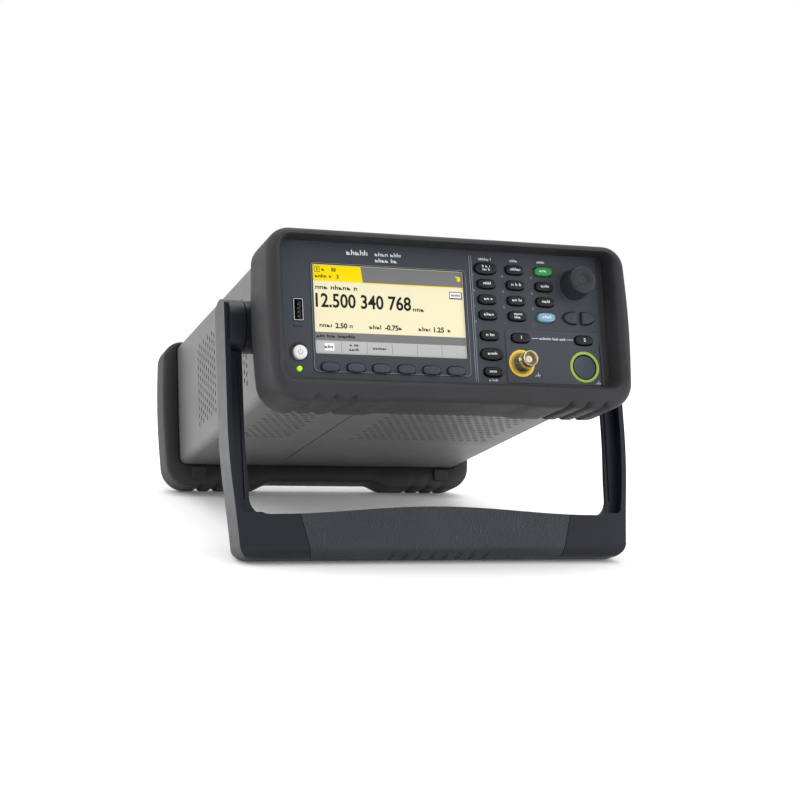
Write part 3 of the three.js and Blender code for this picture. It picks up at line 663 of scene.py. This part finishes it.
def build_handle():
    h = HAND
    reach = h.outer + 2
    front = PIVOT.y - h.depth / 2
    blank = carve(mesh_of("handle", *along_y(handle_front(), 20, 70)),
                  [mesh_of("side", *along_x(handle_side(), -reach, reach))], "INTERSECT")
    hollows = [mesh_of("hollow", *along_y(arm_hollow(side), *depths))
               for side in (-1, 1) for depths in ((20, WEB[0]), (WEB[1], 70))]
    body = carve(blank, hollows)
    hubs = []
    for side in (-1, 1):
        span = sorted((side * h.inner, side * (h.outer - FLANGE + 0.5)))
        hubs.append(mesh_of("hub", *along_x(circle(PIVOT.y, PIVOT.z, h.hub, 72), *span)))
    body = carve(body, hubs, "UNION")
    zone = [(-GRIP_ZONE.bottom, h.bottom - 2), (GRIP_ZONE.bottom, h.bottom - 2),
            (GRIP_ZONE.top, -60), (-GRIP_ZONE.top, -60)]
    slim = [(x - 0.35 * (1 if x > 0 else -1), z) for x, z in zone]
    grip = carve(body.copy(), [mesh_of("zone", *along_y(slim, 20, 70))], "INTERSECT")
    frame_mesh = carve(body, [mesh_of("zone", *along_y(zone, 20, 70))])
    core = mesh_of("core", *along_x(rounded(PIVOT.y, -83.5, 16, 20, 4), -95, 95))
    frame_mesh = carve(frame_mesh, [core], "UNION")
    pins = [notch_tool((i - 3.5) * 8.7, front, h.bottom) for i in range(8)]
    grip = carve(grip, [mesh_of("notches", *merged(*pins))])
    obj = link("handle_frame_moulding", frame_mesh, HANDLE, "handle", replaces=["handle_frame"])
    bevel(obj, 0.6, 3, 40)
    obj = link("handle_grip_sleeve", grip, GRIP, "handle", slot="grip_rubber", replaces=["handle_grip"])
    bevel(obj, 0.4, 2, 40)
    for side, word in ((-1, "left"), (1, "right")):
        build_arm_details(side, word)


def notch_tool(x, front, bottom):
    """A short round-bottomed groove that climbs the bar's lower front edge."""
    rings = []
    for s, (y, z) in enumerate(((front - 1.5, bottom + 10), (front + 0.6, bottom + 3.5), (front + 5, bottom + 0.2),
                                (front + 11, bottom - 1.2))):
        lean = (0.9, 0.3, -0.4, -0.9)[s]
        r = (0.9, 1.7, 1.7, 0.9)[s]
        rings.append([(x + lean + r * cos(a), y - 0.2 * r * sin(a), z + r * sin(a))
                      for a in (2 * pi * i / 12 for i in range(12))])
    return loft(rings)


def build_arm_details(side, word):
    h = HAND
    ridge = []
    for z in (-62, -40, -15, 10, 30):
        t = (z + 62) / 92
        x = side * (h.inner_foot + 2.6 + (h.inner - h.inner_foot) * t)
        ridge.append([(x - 0.6, WEB[0] + 0.4, z), (x + 0.6, WEB[0] + 0.4, z), (x + 0.4, WEB[0] - 1.2, z),
                      (x - 0.4, WEB[0] - 1.2, z)])
    piece(f"handle_rib_{word}", loft(ridge), HANDLE, "handle", bevel_mm=0.3)
    shoulder = h.inner - 0.4
    r = h.hub - 0.5
    profile = [(0, 106.8), (r - 0.8, 106.8), (r, 107.6), (r, shoulder - 0.7), (r - 0.7, shoulder), (6, shoulder),
               (6, h.inner + 6), (0, h.inner + 6)]
    rings = [ring_x(side * x, PIVOT.y, PIVOT.z, max(radius, 1e-3), 64) for radius, x in profile]
    piece(f"pivot_hub_{word}", loft(rings), HANDLE, "chassis", replaces=[f"pivot_boss_{word}"])


# ---- front panel
SCREEN = Sizes(x=-37.6, z=44.5, w=95.0, h=53.9)
INPUT, SECOND = (45.4, 15.4), (87.7, 14.4)
KNOB_AT = (84.2, 66.4)
POWER, LAMP = (-95.3, 17.3), (-95.6, 7.7)
USB_HOST = (-95.2, 43.2)
SEAT = 0.45  # how far the raised fields stand in front of the panel
SUNK = 0.02  # how far a piece laid on the panel goes into it
KEY_GAP = 0.55
PLATE = (0, 44.15, 209.4, 84.9, 3.4, 6)  # outline of the front and of the rear panel, as rounded() takes it
FIELD = (-37.5, 39.25)                   # middle of the raised field round the display
FRONT_HOLES = ((INPUT, 6.5, 40), (SECOND, 7.9, 48))
KEY_NAMES = [n for n in NODES if n.endswith("_key") or n.startswith("softkey")]
ARROWS = ("left_arrow_key", "right_arrow_key")
CHANNEL_KEYS = {"channel_1_key": "1", "channel_2_key": "2"}
TWO_LINE_KEYS = ("auto_scale_key", "data_log_key")


def squircle(cx, cz, w, h, power, steps=40):
    """A closed superellipse; power 2 is an ellipse and larger values are squarer."""
    line = []
    for i in range(steps):
        a = 2 * pi * i / steps
        c, s = cos(a), sin(a)
        line.append((cx + w / 2 * copysign(abs(c) ** (2 / power), c),
                     cz + h / 2 * copysign(abs(s) ** (2 / power), s)))
    return line


def leaf(x, z, w, h, side):
    """Half an ellipse with softened corners: side -1 points left and 1 points right."""
    bulge = curve_through([(-side * w / 2, -h / 2 + 0.5), (-side * w / 2 + side * 0.6, -h / 2), (0, -h / 2 + 0.25),
                           (side * w * 0.33, -h * 0.30), (side * w / 2, 0), (side * w * 0.33, h * 0.30),
                           (0, h / 2 - 0.25), (-side * w / 2 + side * 0.6, h / 2), (-side * w / 2, h / 2 - 0.5)], 4)
    line = [(x + u, z + v) for u, v in bulge]
    return line if side > 0 else line[::-1]


def key_outline(name, extra=0.0):
    low, high = node_box(name)
    x, z = centre(name)
    w, h = high.x - low.x, high.z - low.z
    if name in ARROWS:
        line = leaf(x, z, w, h, -1 if name.startswith("left") else 1)
        return inset(line, -extra) if extra else line
    power = 2.35 if h > 6.5 else 3.0
    return squircle(x, z, w + 2 * extra, h + 2 * extra, power)


def greek(x, z, width, height, y, seed, align=0.0, thick=THIN, weight=0.18):
    """A printed line that stands for words: short uneven strokes, not letters."""
    solids, at, start = [], 0.0, x - width * (align + 1) / 2
    state = seed * 2654435761 % WORD  # a small repeatable generator of even numbers from 0 to 1
    while at < width:
        state = (state * 1664525 + 1013904223) % WORD
        pick = state / WORD
        step = height * (0.58 + 0.2 * pick)
        if pick > 0.86 and at > 0:
            at += height * 0.55
            continue
        w = min(step, width - at)
        if w > height * 0.15:
            low = -height * 0.36
            high = height * (0.36 + 0.23 * (1 if pick < 0.33 else -0.35))
            left = start + at
            bar = height * weight
            solids.append(box(left, left + bar, y - thick, y, z + low, z + high))
            if pick < 0.62 and w > 2.6 * bar:
                solids.append(box(left + w - bar, left + w, y - thick, y, z + low, z + height * 0.22))
                solids.append(box(left + bar, left + w - bar, y - thick, y, z + height * 0.08, z + height * 0.22))
            elif w > 2.6 * bar:
                solids.append(box(left + bar, left + w, y - thick, y, z + low, z + low + bar))
                solids.append(box(left + bar, left + w * 0.8, y - thick, y, z - bar / 2, z + bar / 2))
        at += step + height * 0.16
    return merged(*solids)


def build_panel():
    screen_hole = rounded(SCREEN.x, SCREEN.z, SCREEN.w + 0.9, SCREEN.h + 0.9, 0.9, 3)
    usb_hole = rounded(*USB_HOST, 6.6, 14.0, 0.7, 3)
    key_holes = [key_outline(n, KEY_GAP) for n in KEY_NAMES]
    front_holes = [circle(*at, r, steps) for at, r, steps in FRONT_HOLES]
    holes = [screen_hole, usb_hole, *key_holes, circle(*POWER, 5.0, 40), circle(*LAMP, 2.0, 24),
             *front_holes, circle(*KNOB_AT, 4.8, 32)]
    piece("front_panel_moulding", plate(rounded(*PLATE), holes, 0, 4), PANEL,
          replaces=["front_panel"], bevel_mm=0.25)
    softkeys = [key_outline(n, KEY_GAP) for n in KEY_NAMES if n.startswith("softkey")]
    field = rounded(*FIELD, 99.0, 66.5, 2.6, 6)
    piece("display_surround", plate(field, [screen_hole, *softkeys], -SEAT, SUNK), PANEL, bevel_mm=0.3)
    block = [(98.5, 3.0), (98.5, 36.7), *arc(38.6, 33.7, 3.0, 90, 180, 6), (35.6, 3.0)]
    holes = [key_outline(n, KEY_GAP) for n in CHANNEL_KEYS] + front_holes
    piece("channel_block", plate(block, holes, -SEAT, SUNK), BLOCK, bevel_mm=0.3)
    # Two grey lines at X 14.7 and 16.0: painted highlights on the two edges of a groove between the display and the
    # keys.
    for i, x in enumerate((14.7, 16.0)):
        piece(f"groove_edge_highlight_{i + 1}", along_y(rounded(x, 42.6, 0.36, 79.4, 0.17, 2), -0.32, SUNK), DIM_INK)
    # A pale grey line just inside the raised field's edge: a painted highlight where that edge catches light.
    line = rounded(*FIELD, 98.4, 65.9, 2.4, 6)
    surround_edge_highlight = ribbon(line + line[:1], 0.22, -SEAT + 0.03)
    piece("display_surround_painted_highlight", surround_edge_highlight, DIM_INK)
    # A black strip laid in the gap between the panel and the bumper: painted shade of that groove.
    piece("panel_side_painted_shade", along_y(rounded(102.4, 44.1, 4.0, 82.0, 0.6, 3), -0.08, SUNK), BLACK)
    step = [(99.1, 3.0), (100.4, 3.0), (100.4, 28.4), (100.0, 28.8), (99.1, 28.8)]
    piece("panel_side_step", along_y(step, -0.9, SUNK), PANEL, bevel_mm=0.2)


def key_cap(name):
    """A crowned cap: straight sides, a rounded rim and a gently domed face."""
    low, high = node_box(name)
    face, back = low.y, high.y
    line = key_outline(name)
    cx, cz = centre(name)
    rim, lip = 1.0, 0.75
    rings = [ring_at(line, back), ring_at(line, face + rim)]
    for i in range(1, 6):
        a = pi / 2 * i / 5
        rings.append(ring_at(inset(line, lip * (1 - cos(a))), face + 0.18 + (rim - 0.18) * (1 - sin(a))))
    base = inset(line, lip)
    for shrink, y in ((0.75, face + 0.07), (0.4, face + 0.02), (0.1, face)):
        rings.append([(cx + (x - cx) * shrink, y, cz + (z - cz) * shrink) for x, z in base])
    material = {"preset_key": GREEN_KEY, "shift_key": BLUE_KEY}.get(name, KEY)
    slot = {"preset_key": "green_key", "shift_key": "blue_key"}.get(name, "key_plastic")
    if name.startswith("softkey"):
        material, slot = SOFTKEY, "softkey_plastic"
    if name in ARROWS:
        material = PANEL
    piece(f"{name}_cap", loft(rings), material, body=name, slot=slot, replaces=[name], sharp=60)


def chevron(x, z, side, y):
    w = 0.9
    points = [(x - side * w, z + 1.3), (x + side * w, z), (x - side * w, z - 1.3)]
    return ribbon(points, 0.42, y)


def build_keys():
    for i, name in enumerate(KEY_NAMES):
        key_cap(name)
        if name.startswith("softkey"):
            continue
        x, z = centre(name)
        y = node_box(name)[0].y
        if name in ARROWS:
            mark = chevron(x, z, -1 if name.startswith("left") else 1, y + 0.01)
            piece(f"{name}_mark", mark, BLACK, body=name, slot="")
        elif name in CHANNEL_KEYS:
            piece(f"{name}_mark", letters(CHANNEL_KEYS[name], x, z, 2.0, y + 0.03), INK, body=name)
        elif name in TWO_LINE_KEYS:
            mark = merged(greek(x, z + 1.05, 5.4, 1.7, y + 0.05, i + 3),
                          greek(x, z - 1.05, 5.0, 1.7, y + 0.05, i + 40))
            piece(f"{name}_mark", mark, INK, body=name)
        else:
            piece(f"{name}_mark", greek(x, z, 5.2 + (i % 3) * 0.7, 1.9, y + 0.04, i + 7), INK, body=name)


def ground_mark(x, z, y):
    bars = [ribbon([(x, z + 1.5), (x, z)], 0.22, y), ribbon([(x - 1.3, z), (x + 1.3, z)], 0.22, y)]
    bars += [ribbon([(x + d, z), (x + d - 0.7, z - 1.1)], 0.22, y) for d in (-1.2, 0, 1.2)]
    return merged(*bars)


def build_prints():
    y = 0
    white = [greek(x, 80.3, w, 1.7, y, s) for x, w, s in ((25.1, 8.2, 11), (44.4, 5.0, 12), (63.7, 7.2, 13))]
    white += [greek(26.2, 4.3, 5.6, 1.6, y, 14)]
    white += [greek(-46.0, 79.4, 17.0, 2.5, y, 21, align=-1), greek(-46.0, 75.6, 13.6, 2.5, y, 22, align=-1)]
    white += [greek(-64.0, 79.6, 14.0, 3.4, y, 23, align=-1)]
    piece("panel_headings", merged(*white), INK)
    numerals = [letters(mark, x - 8.2, z - 4.3, 1.5, y)
                for z, row in ((74.3, "789"), (64.5, "456"), (54.7, "123"), (44.9, "0.-"))
                for x, mark in zip((25.1, 44.4, 63.7), row)]
    piece("panel_numerals", merged(*numerals), DIM_INK)
    front = -SEAT
    block = [ribbon([(53.2, 31.4), (57.6, 31.4)], 0.25, front), ribbon([(76.8, 31.4), (81.2, 31.4)], 0.25, front),
             greek(67.2, 31.4, 17.6, 1.6, front, 31)]
    block += [ground_mark(56.0, 8.4, front), ground_mark(99.0 - 2.4, 4.6, front)]
    piece("channel_prints", merged(*block), INK)
    piece("port_print", greek(-95.4, 33.2, 6.4, 1.2, y, 41), PIXEL)


# ---- display
def build_display():
    left, right = SCREEN.x - SCREEN.w / 2, SCREEN.x + SCREEN.w / 2
    low, high = SCREEN.z - SCREEN.h / 2, SCREEN.z + SCREEN.h / 2
    face, layer = 0.80, 0.05
    tab_end, bar_low, band_high, band_low = -55.2, 61.6, 30.4, 25.3

    def layered(name, solids, material, level):
        piece(name, merged(*[s(face - level * layer) for s in solids]), material)

    def sheet_of(outline):
        return lambda y: along_y(outline, y, y + layer * 0.9)

    def rect(x0, x1, z0, z1):
        return sheet_of(quad(x0, x1, z0, z1))

    def words(x, z, width, height, seed, align=-1.0):
        return lambda y: greek(x, z, width, height, y + layer, seed, align, thick=layer, weight=0.22)

    def digits(text, x, z, height, width, align=-1.0):
        bold = 0.022 if height > 5 else 0.034
        return lambda y: letters(text, x, z, height, y + layer, width=width, align=align, bold=bold, thick=layer / 2)

    piece("display_glass", box(left - 0.3, right + 0.3, face, 2.2, low - 0.3, high + 0.3), CREAM,
          slot="window_glass", replaces=["display_window"], bevel_mm=0.1)
    tab = [(left, bar_low), (tab_end + 1.0, bar_low), *arc(tab_end - 0.9, high - 0.9, 0.9, 10, 90, 4), (left, high)]
    layered("screen_top_bar", [rect(left, right, bar_low, high)], BAR, 1)
    layered("screen_channel_tab", [sheet_of(tab)], TAB, 2)
    layered("screen_rule", [rect(tab_end, right, bar_low - 0.35, bar_low + 0.15)], TAB, 2)
    layered("screen_band", [rect(left, right, band_low, band_high)], BAR, 1)
    layered("screen_softkey_row", [rect(left, right, low, band_low)], PALE, 1)
    pitch = SCREEN.w / 6
    dividers = [rect(x - 0.12, x + 0.12, low + 0.6, band_low - 0.6) for x in (left + pitch * i for i in range(1, 6))]
    layered("screen_softkey_dividers", dividers, BAR, 2)
    layered("screen_highlight", [rect(left + 5.4, left + 11.4, 19.3, 23.7), rect(0.8, 9.0, 54.6, 58.6)], GLARE, 2)
    frame_lines = [rect(0.8, 9.0, 58.3, 58.7), rect(0.8, 9.0, 54.2, 54.9), rect(0.8, 1.15, 54.6, 58.6),
                   rect(8.4, 9.0, 54.2, 58.6)]
    layered("screen_gate_box", frame_lines + [words(4.9, 56.6, 6.0, 2.1, 51, 0.0)], PIXEL, 3)
    ink = [digits("12.500 340 768", left + 1.0, 49.3, 8.2, 0.84)]
    ink += [words(left + 1.2, 57.6, 26.5, 3.0, 61), words(-23.2, 46.4, 7.2, 2.9, 62)]
    for x, text, seed in ((left + 2.8, "2.50", 63), (-51.4, "-0.75", 64), (-20.2, "1.25", 65)):
        ink += [words(x, 34.4, 7.6, 2.7, seed), digits(text, x + 9.8, 34.4, 3.0, 1.0),
                words(x + 18.6, 34.4, 2.4, 2.7, seed)]
    layered("screen_reading", ink, PIXEL, 1)
    labels = [words(left + 0.8, 27.9, 24.0, 2.1, 66)]
    labels += [words(left + pitch * 0.5, 21.5, 5.0, 2.2, 67, 0.0), words(left + pitch * 1.5, 23.0, 5.6, 1.8, 68, 0.0),
               words(left + pitch * 1.5, 20.2, 6.4, 1.8, 69, 0.0), words(left + pitch * 2.5, 21.5, 8.6, 1.8, 70, 0.0)]
    labels += [digits("1", left + 2.6, 68.6, 2.2, 1.0, 0.0), words(left + 5.4, 68.6, 2.2, 2.2, 71),
               digits("50", left + 11.4, 68.6, 2.2, 0.9), words(left + 1.2, 64.4, 10.6, 2.2, 72),
               digits("5", left + 14.6, 64.4, 2.2, 0.9)]
    x0, x1, z0, z1 = left + 1.0, left + 4.2, 66.9, 70.4
    labels += [rect(x0, x1, z1 - 0.25, z1), rect(x0, x1, z0, z0 + 0.25), rect(x0, x0 + 0.25, z0, z1),
               rect(x1 - 0.25, x1, z0, z1)]
    layered("screen_small_marks", labels, PIXEL, 3)
    layered("screen_status_icon", [rect(6.4, 8.6, 65.6, 68.0), rect(5.2, 8.0, 68.0, 68.5)], TAB, 2)


# ---- controls and connectors on the front
def build_controls():
    x, z = KNOB_AT
    profile = [(0, -13.3), (1.8, -13.35), (3.0, -13.6), (3.8, -14.1), (4.5, -14.65), (5.2, -14.93), (6.2, -15.0),
               (7.5, -14.95), (8.2, -14.7), (8.55, -14.2), (8.7, -13.5), (8.85, -11), (9.1, -7), (9.35, -3.4),
               (9.6, -2.2), (9.7, -1.4), (9.6, -0.8), (9.1, -0.6), (3.4, -0.6), (3.4, -11.8), (0, -11.8)]
    piece("tuning_knob_grip", lathe(profile, x, z, 72), KNOB, body="tuning_knob", slot="knob_rubber",
          replaces=["tuning_knob"], sharp=40)
    skirt = [(10.3, 0.02), (10.3, -0.25), (10.0, -0.4), (4.9, -0.4), (4.9, 0.02), (10.3, 0.02)]
    piece("knob_collar", lathe(skirt, x, z, 64), PANEL)

    x, z = POWER
    button = [(0, -1.72), (2.6, -1.70), (3.5, -1.62), (4.0, -1.45), (4.3, -1.1), (4.4, -0.6), (4.4, 5.4), (0, 5.4)]
    piece("power_button_cap", lathe(button, x, z, 48), WHITE, body="power_button", slot="white_plastic",
          replaces=["power_button"])
    ring = arc(x, z, 1.35, 125, 415, 20)
    mark = merged(ribbon(ring, 0.32, -1.68), ribbon([(x, z + 0.3), (x, z + 1.9)], 0.32, -1.68))
    piece("power_mark", mark, DIM_INK, body="power_button")
    hollow = arc(x, z, 5.0, 40, 250, 24)
    outer = arc(x - 0.5, z + 0.3, 6.1, 250, 40, 24)
    piece("power_button_shadow_recess", along_y(hollow + outer, -0.05, SUNK), BLACK)
    x, z = LAMP
    lens = [(0, -0.55), (0.8, -0.5), (1.3, -0.32), (1.55, 0.0), (1.6, 0.4), (1.6, 8.6), (0, 8.6)]
    piece("power_lamp", lathe(lens, x, z, 28), LED, slot="led_lens", replaces=["power_led"])

    for (x, z), outer, inner, material, word in ((INPUT, 8.5, 6.75, YELLOW, "channel_1_ring"),
                                                 (SECOND, 9.85, 8.15, LIME, "channel_2_ring")):
        ring = [(outer, 0.02), (outer, -SEAT - 0.15), (outer - 0.2, -SEAT - 0.3), (inner + 0.2, -SEAT - 0.3),
                (inner, -SEAT - 0.15), (inner, 0.02), (outer, 0.02)]
        piece(word, lathe(ring, x, z, 64), material)
    x, z = SECOND
    plug = [(0, 0.35), (5.6, 0.3), (6.6, 0.15), (7.2, -0.15), (7.45, 0.1), (7.5, 0.5), (7.5, 3.6), (0, 3.6)]
    piece("channel_2_blank", lathe(plug, x, z, 64), BLOCK, replaces=["channel_2_plug"])

    x, z = USB_HOST
    frame_line = rounded(x, z, 5.8, 13.2, 0.5, 3)
    mouth = rounded(x, z, 5.1, 12.5, 0.4, 3)
    piece("usb_port_shell", plate(frame_line, [mouth], -0.4, 15.5), STEEL, slot="connector_metal",
          replaces=["usb_host_port"])
    piece("usb_port_back", box(x - 2.9, x + 2.9, 15.5, 17, z - 6.6, z + 6.6), BLACK)
    piece("usb_port_tongue", box(x + 0.45, x + 2.15, 1.0, 16, z - 5.6, z + 5.6), BLACK, bevel_mm=0.2)
    springs = [box(x - 2.5, x - 2.2, 1.2, 9, z + d - 1, z + d + 1) for d in (-3, 3)]
    springs += [box(x + 0.25, x + 0.45, 1.6, 9, z + d - 0.5, z + d + 0.5) for d in (-3.6, -1.2, 1.2, 3.6)]
    piece("usb_port_contacts", merged(*springs), NICKEL, slot="connector_metal")


def build_jack(name, x, z, face, sign, wide, tail, hex_nut):
    """A bayonet jack: flared body, slim shell with two lugs, dielectric and centre contact."""
    def at(out):
        return face + sign * out

    profile = [(4.1, at(5.6)), (4.1, at(13.6)), (4.35, at(14.15)), (4.65, at(14.2)), (4.8, at(13.9)), (4.8, at(11.2)),
               (4.95, at(10.9)), (4.8, at(10.6)), (4.8, at(7.4)), (4.95, at(6.2)), (wide * 0.80, at(4.9)),
               (wide * 0.88, at(3.6)), (wide * 0.97, at(2.2)), (wide, at(1.2)), (wide, at(0.5)), (6.0, at(0.45)),
               (6.0, at(-tail)), (1.5, at(-tail)), (1.5, at(5.6)), (4.1, at(5.6))]
    shell = lathe(profile, x, z, 56)
    lugs = [loft([ring_x(x + side * out, at(9.4), z, r, 16) for out, r in ((4.6, 1.05), (6.0, 1.05), (6.2, 0.85))])
            for side in (-1, 1)]
    piece(name + "_shell", merged(shell, *lugs), NICKEL, slot="connector_metal", replaces=[name], sharp=30)
    ivory = [(0.95, at(5.5)), (0.95, at(11.6)), (1.9, at(11.6)), (2.15, at(11.3)), (2.15, at(6.2)), (4.0, at(6.0)),
             (4.0, at(5.5)), (0.95, at(5.5))]
    piece(name + "_dielectric", lathe(ivory, x, z, 32), IVORY)
    pin = [(0, at(-tail)), (0.9, at(-tail)), (0.9, at(11.9)), (0.7, at(12.1)), (0.35, at(12.1)), (0.35, at(9)),
           (0, at(9))]
    piece(name + "_contact", lathe(pin, x, z, 24), NICKEL)
    if hex_nut:
        hexagon = arc(x, z, 8.0, 0, 360, 6)[:-1]
        piece(name + "_nut", along_y(hexagon, at(0.35), at(2.4)) if sign > 0 else along_y(hexagon, at(2.4), at(0.35)),
              NICKEL, bevel_mm=0.25)


# ---- rear and inside
REAR_FACE = 269.5
REAR_JACKS = {"reference_out_bnc": (67, 22), "reference_in_bnc": (88, 22), "trigger_in_bnc": (67, 46),
              "gate_bnc": (88, 46)}
FAN = (-70.0, 45.0)
LAN_PRINT, USB_PRINT = (22, 40), (46, 40)
DRESSED_NODES = (  # CAD nodes that show as they are: material, bevel in mm, names
    (BLACK, 0.5, "mains_inlet fuse_drawer fan_frame"), (BLACK, 0.4, "fan_rotor"),
    (STEEL, 0.3, "lan_port usb_device_port"), (STEEL, 0.4, "gpib_port"), (SHEET, 0.8, "oscillator_can"),
    (SHEET, 0.5, "display_module power_supply"), (SHEET, 0.3, "knob_encoder"), (SILICONE, 0.3, "keypad_membrane"),
    (BOARD, 0.1, "front_circuit_board main_circuit_board"), (TRAY_SHADE, 0.3, "chassis_tray"))


def build_rear():
    slots = []
    for r0, r1 in ((7.0, 11.0), (13.2, 17.2), (19.4, 23.4)):
        for q in range(4):
            a0, a1 = 90 * q + 8, 90 * q + 82
            slots.append(arc(*FAN, r1, a0, a1, 14) + arc(*FAN, r0, a1, a0, 12))
    holes = slots + [rounded(-20, 44, 28.4, 36, 1, 2), rounded(22, 30, 16.7, 14.3, 0.6, 2),
                     rounded(46, 30, 12.8, 11.8, 0.6, 2), rounded(45, 66, 45, 11, 2, 3)]
    holes += [circle(x, z, 6.5, 32) for x, z in REAR_JACKS.values()]
    piece("rear_panel_sheet", plate(rounded(*PLATE), holes, REAR_FACE - 2, REAR_FACE), REAR,
          slot="sheet_steel", replaces=["rear_panel"], bevel_mm=0.2)
    screws = [(FAN[0] + a, FAN[1] + b) for a in (-25, 25) for b in (-25, 25)]
    screws += [(-99, 8), (99, 80), (-99, 80), (99, 8), (0, 80), (18, 66), (72, 66)]
    dome = [(0, 269.4), (2.7, 269.4), (2.7, 269.8), (2.3, 270.4), (1.4, 270.8), (0, 270.9)]
    piece("rear_screws", merged(*[lathe(dome, x, z, 20) for x, z in screws]), STEEL, slot="sheet_steel")
    y = REAR_FACE + SUNK
    marks = []
    for i, (x, z) in enumerate([*REAR_JACKS.values(), LAN_PRINT, USB_PRINT]):
        high = 9.4 if i < len(REAR_JACKS) else 0
        strokes, faces = greek(-x, z + high, 11, 1.5, 0, 80 + i)
        marks.append(([(-u, y - v, w) for u, v, w in strokes], faces))
    piece("rear_prints", merged(*marks), INK)
    for material, mm, names in DRESSED_NODES:
        for name in names.split():
            obj = NODES[name]
            obj.data.materials.clear()
            obj.data.materials.append(material)
            bevel(obj, mm)


# ---- camera, floor and lights
EYE = Vector((-385.9, -935.8, -226.1))
EYE_TURN = (radians(20.57), radians(12.23), radians(-2.96))  # yaw, pitch, roll
FOCAL, SENSOR = 78.05, 36
LIT = Vector((0, 0, 0.1))  # where every lamp points, in the row frame
FLOOR_HALF = 6


def build_camera():
    yaw, pitch, roll = EYE_TURN
    look = Vector((sin(yaw) * cos(pitch), cos(yaw) * cos(pitch), sin(pitch)))
    right = Vector((cos(yaw), -sin(yaw), 0))
    up = right.cross(look)
    r = right * cos(roll) + up * sin(roll)
    u = up * cos(roll) - right * sin(roll)
    spin = Matrix((r, u, -look)).transposed().to_4x4()
    data = bpy.data.cameras.new("camera")
    data.lens = FOCAL
    data.sensor_width = SENSOR
    data.clip_end = 20
    cam = placed("camera", data)
    cam.matrix_world = Matrix.Translation(UNIT @ EYE) @ TURN @ spin
    SCENE.camera = cam


def soft_light(name, place, size, watts):
    data = bpy.data.lights.new(name, "AREA")
    data.shape = "RECTANGLE"
    data.size, data.size_y = size
    data.energy = watts
    lamp = placed(name, data)
    lamp.location = place
    lamp.rotation_euler = (LIT - Vector(place)).to_track_quat("-Z", "Y").to_euler()


def build_stage():
    mesh = bpy.data.meshes.new("floor")
    corners = quad(-FLOOR_HALF, FLOOR_HALF, -FLOOR_HALF, FLOOR_HALF)
    mesh.from_pydata([(x, y, 0) for x, y in corners], [], [(0, 1, 2, 3)])
    floor = placed("floor", mesh)
    floor.data.materials.append(shader("pale_floor", (0.97, 0.97, 0.97), 0.9, tone=0.01, tone_mm=600, glow=0.07))
    floor.location.z = -0.0005
    world = bpy.data.worlds.new("studio")
    SCENE.world = world
    world.use_nodes = True
    sky = world.node_tree.nodes["Background"].inputs
    sky["Color"].default_value = (1, 1, 1, 1)
    sky["Strength"].default_value = 1.0
    soft_light("key_left", (-1.3, 0.1, 0.9), (0.9, 0.9), 3.5)
    soft_light("wash_right", (1.5, -1.1, 0.5), (1.0, 0.8), 9)
    soft_light("top", (0, 0.2, 1.6), (1.6, 1.6), 14)
    SCENE.view_settings.view_transform = "Standard"


# ---- put together
build_cover()
build_bumpers()
build_handle()
build_panel()
build_keys()
build_prints()
build_display()
build_controls()
build_jack("input_bnc", *INPUT, 0.0, -1, 6.6, 14, False)
for jack, (jack_x, jack_z) in REAR_JACKS.items():
    build_jack(jack, jack_x, jack_z, REAR_FACE, 1, 6.0, 12, True)
build_rear()
build_camera()
build_stage()
for name, obj in NODES.items():
    if not obj.data.materials:
        obj.data.materials.append(BLACK)
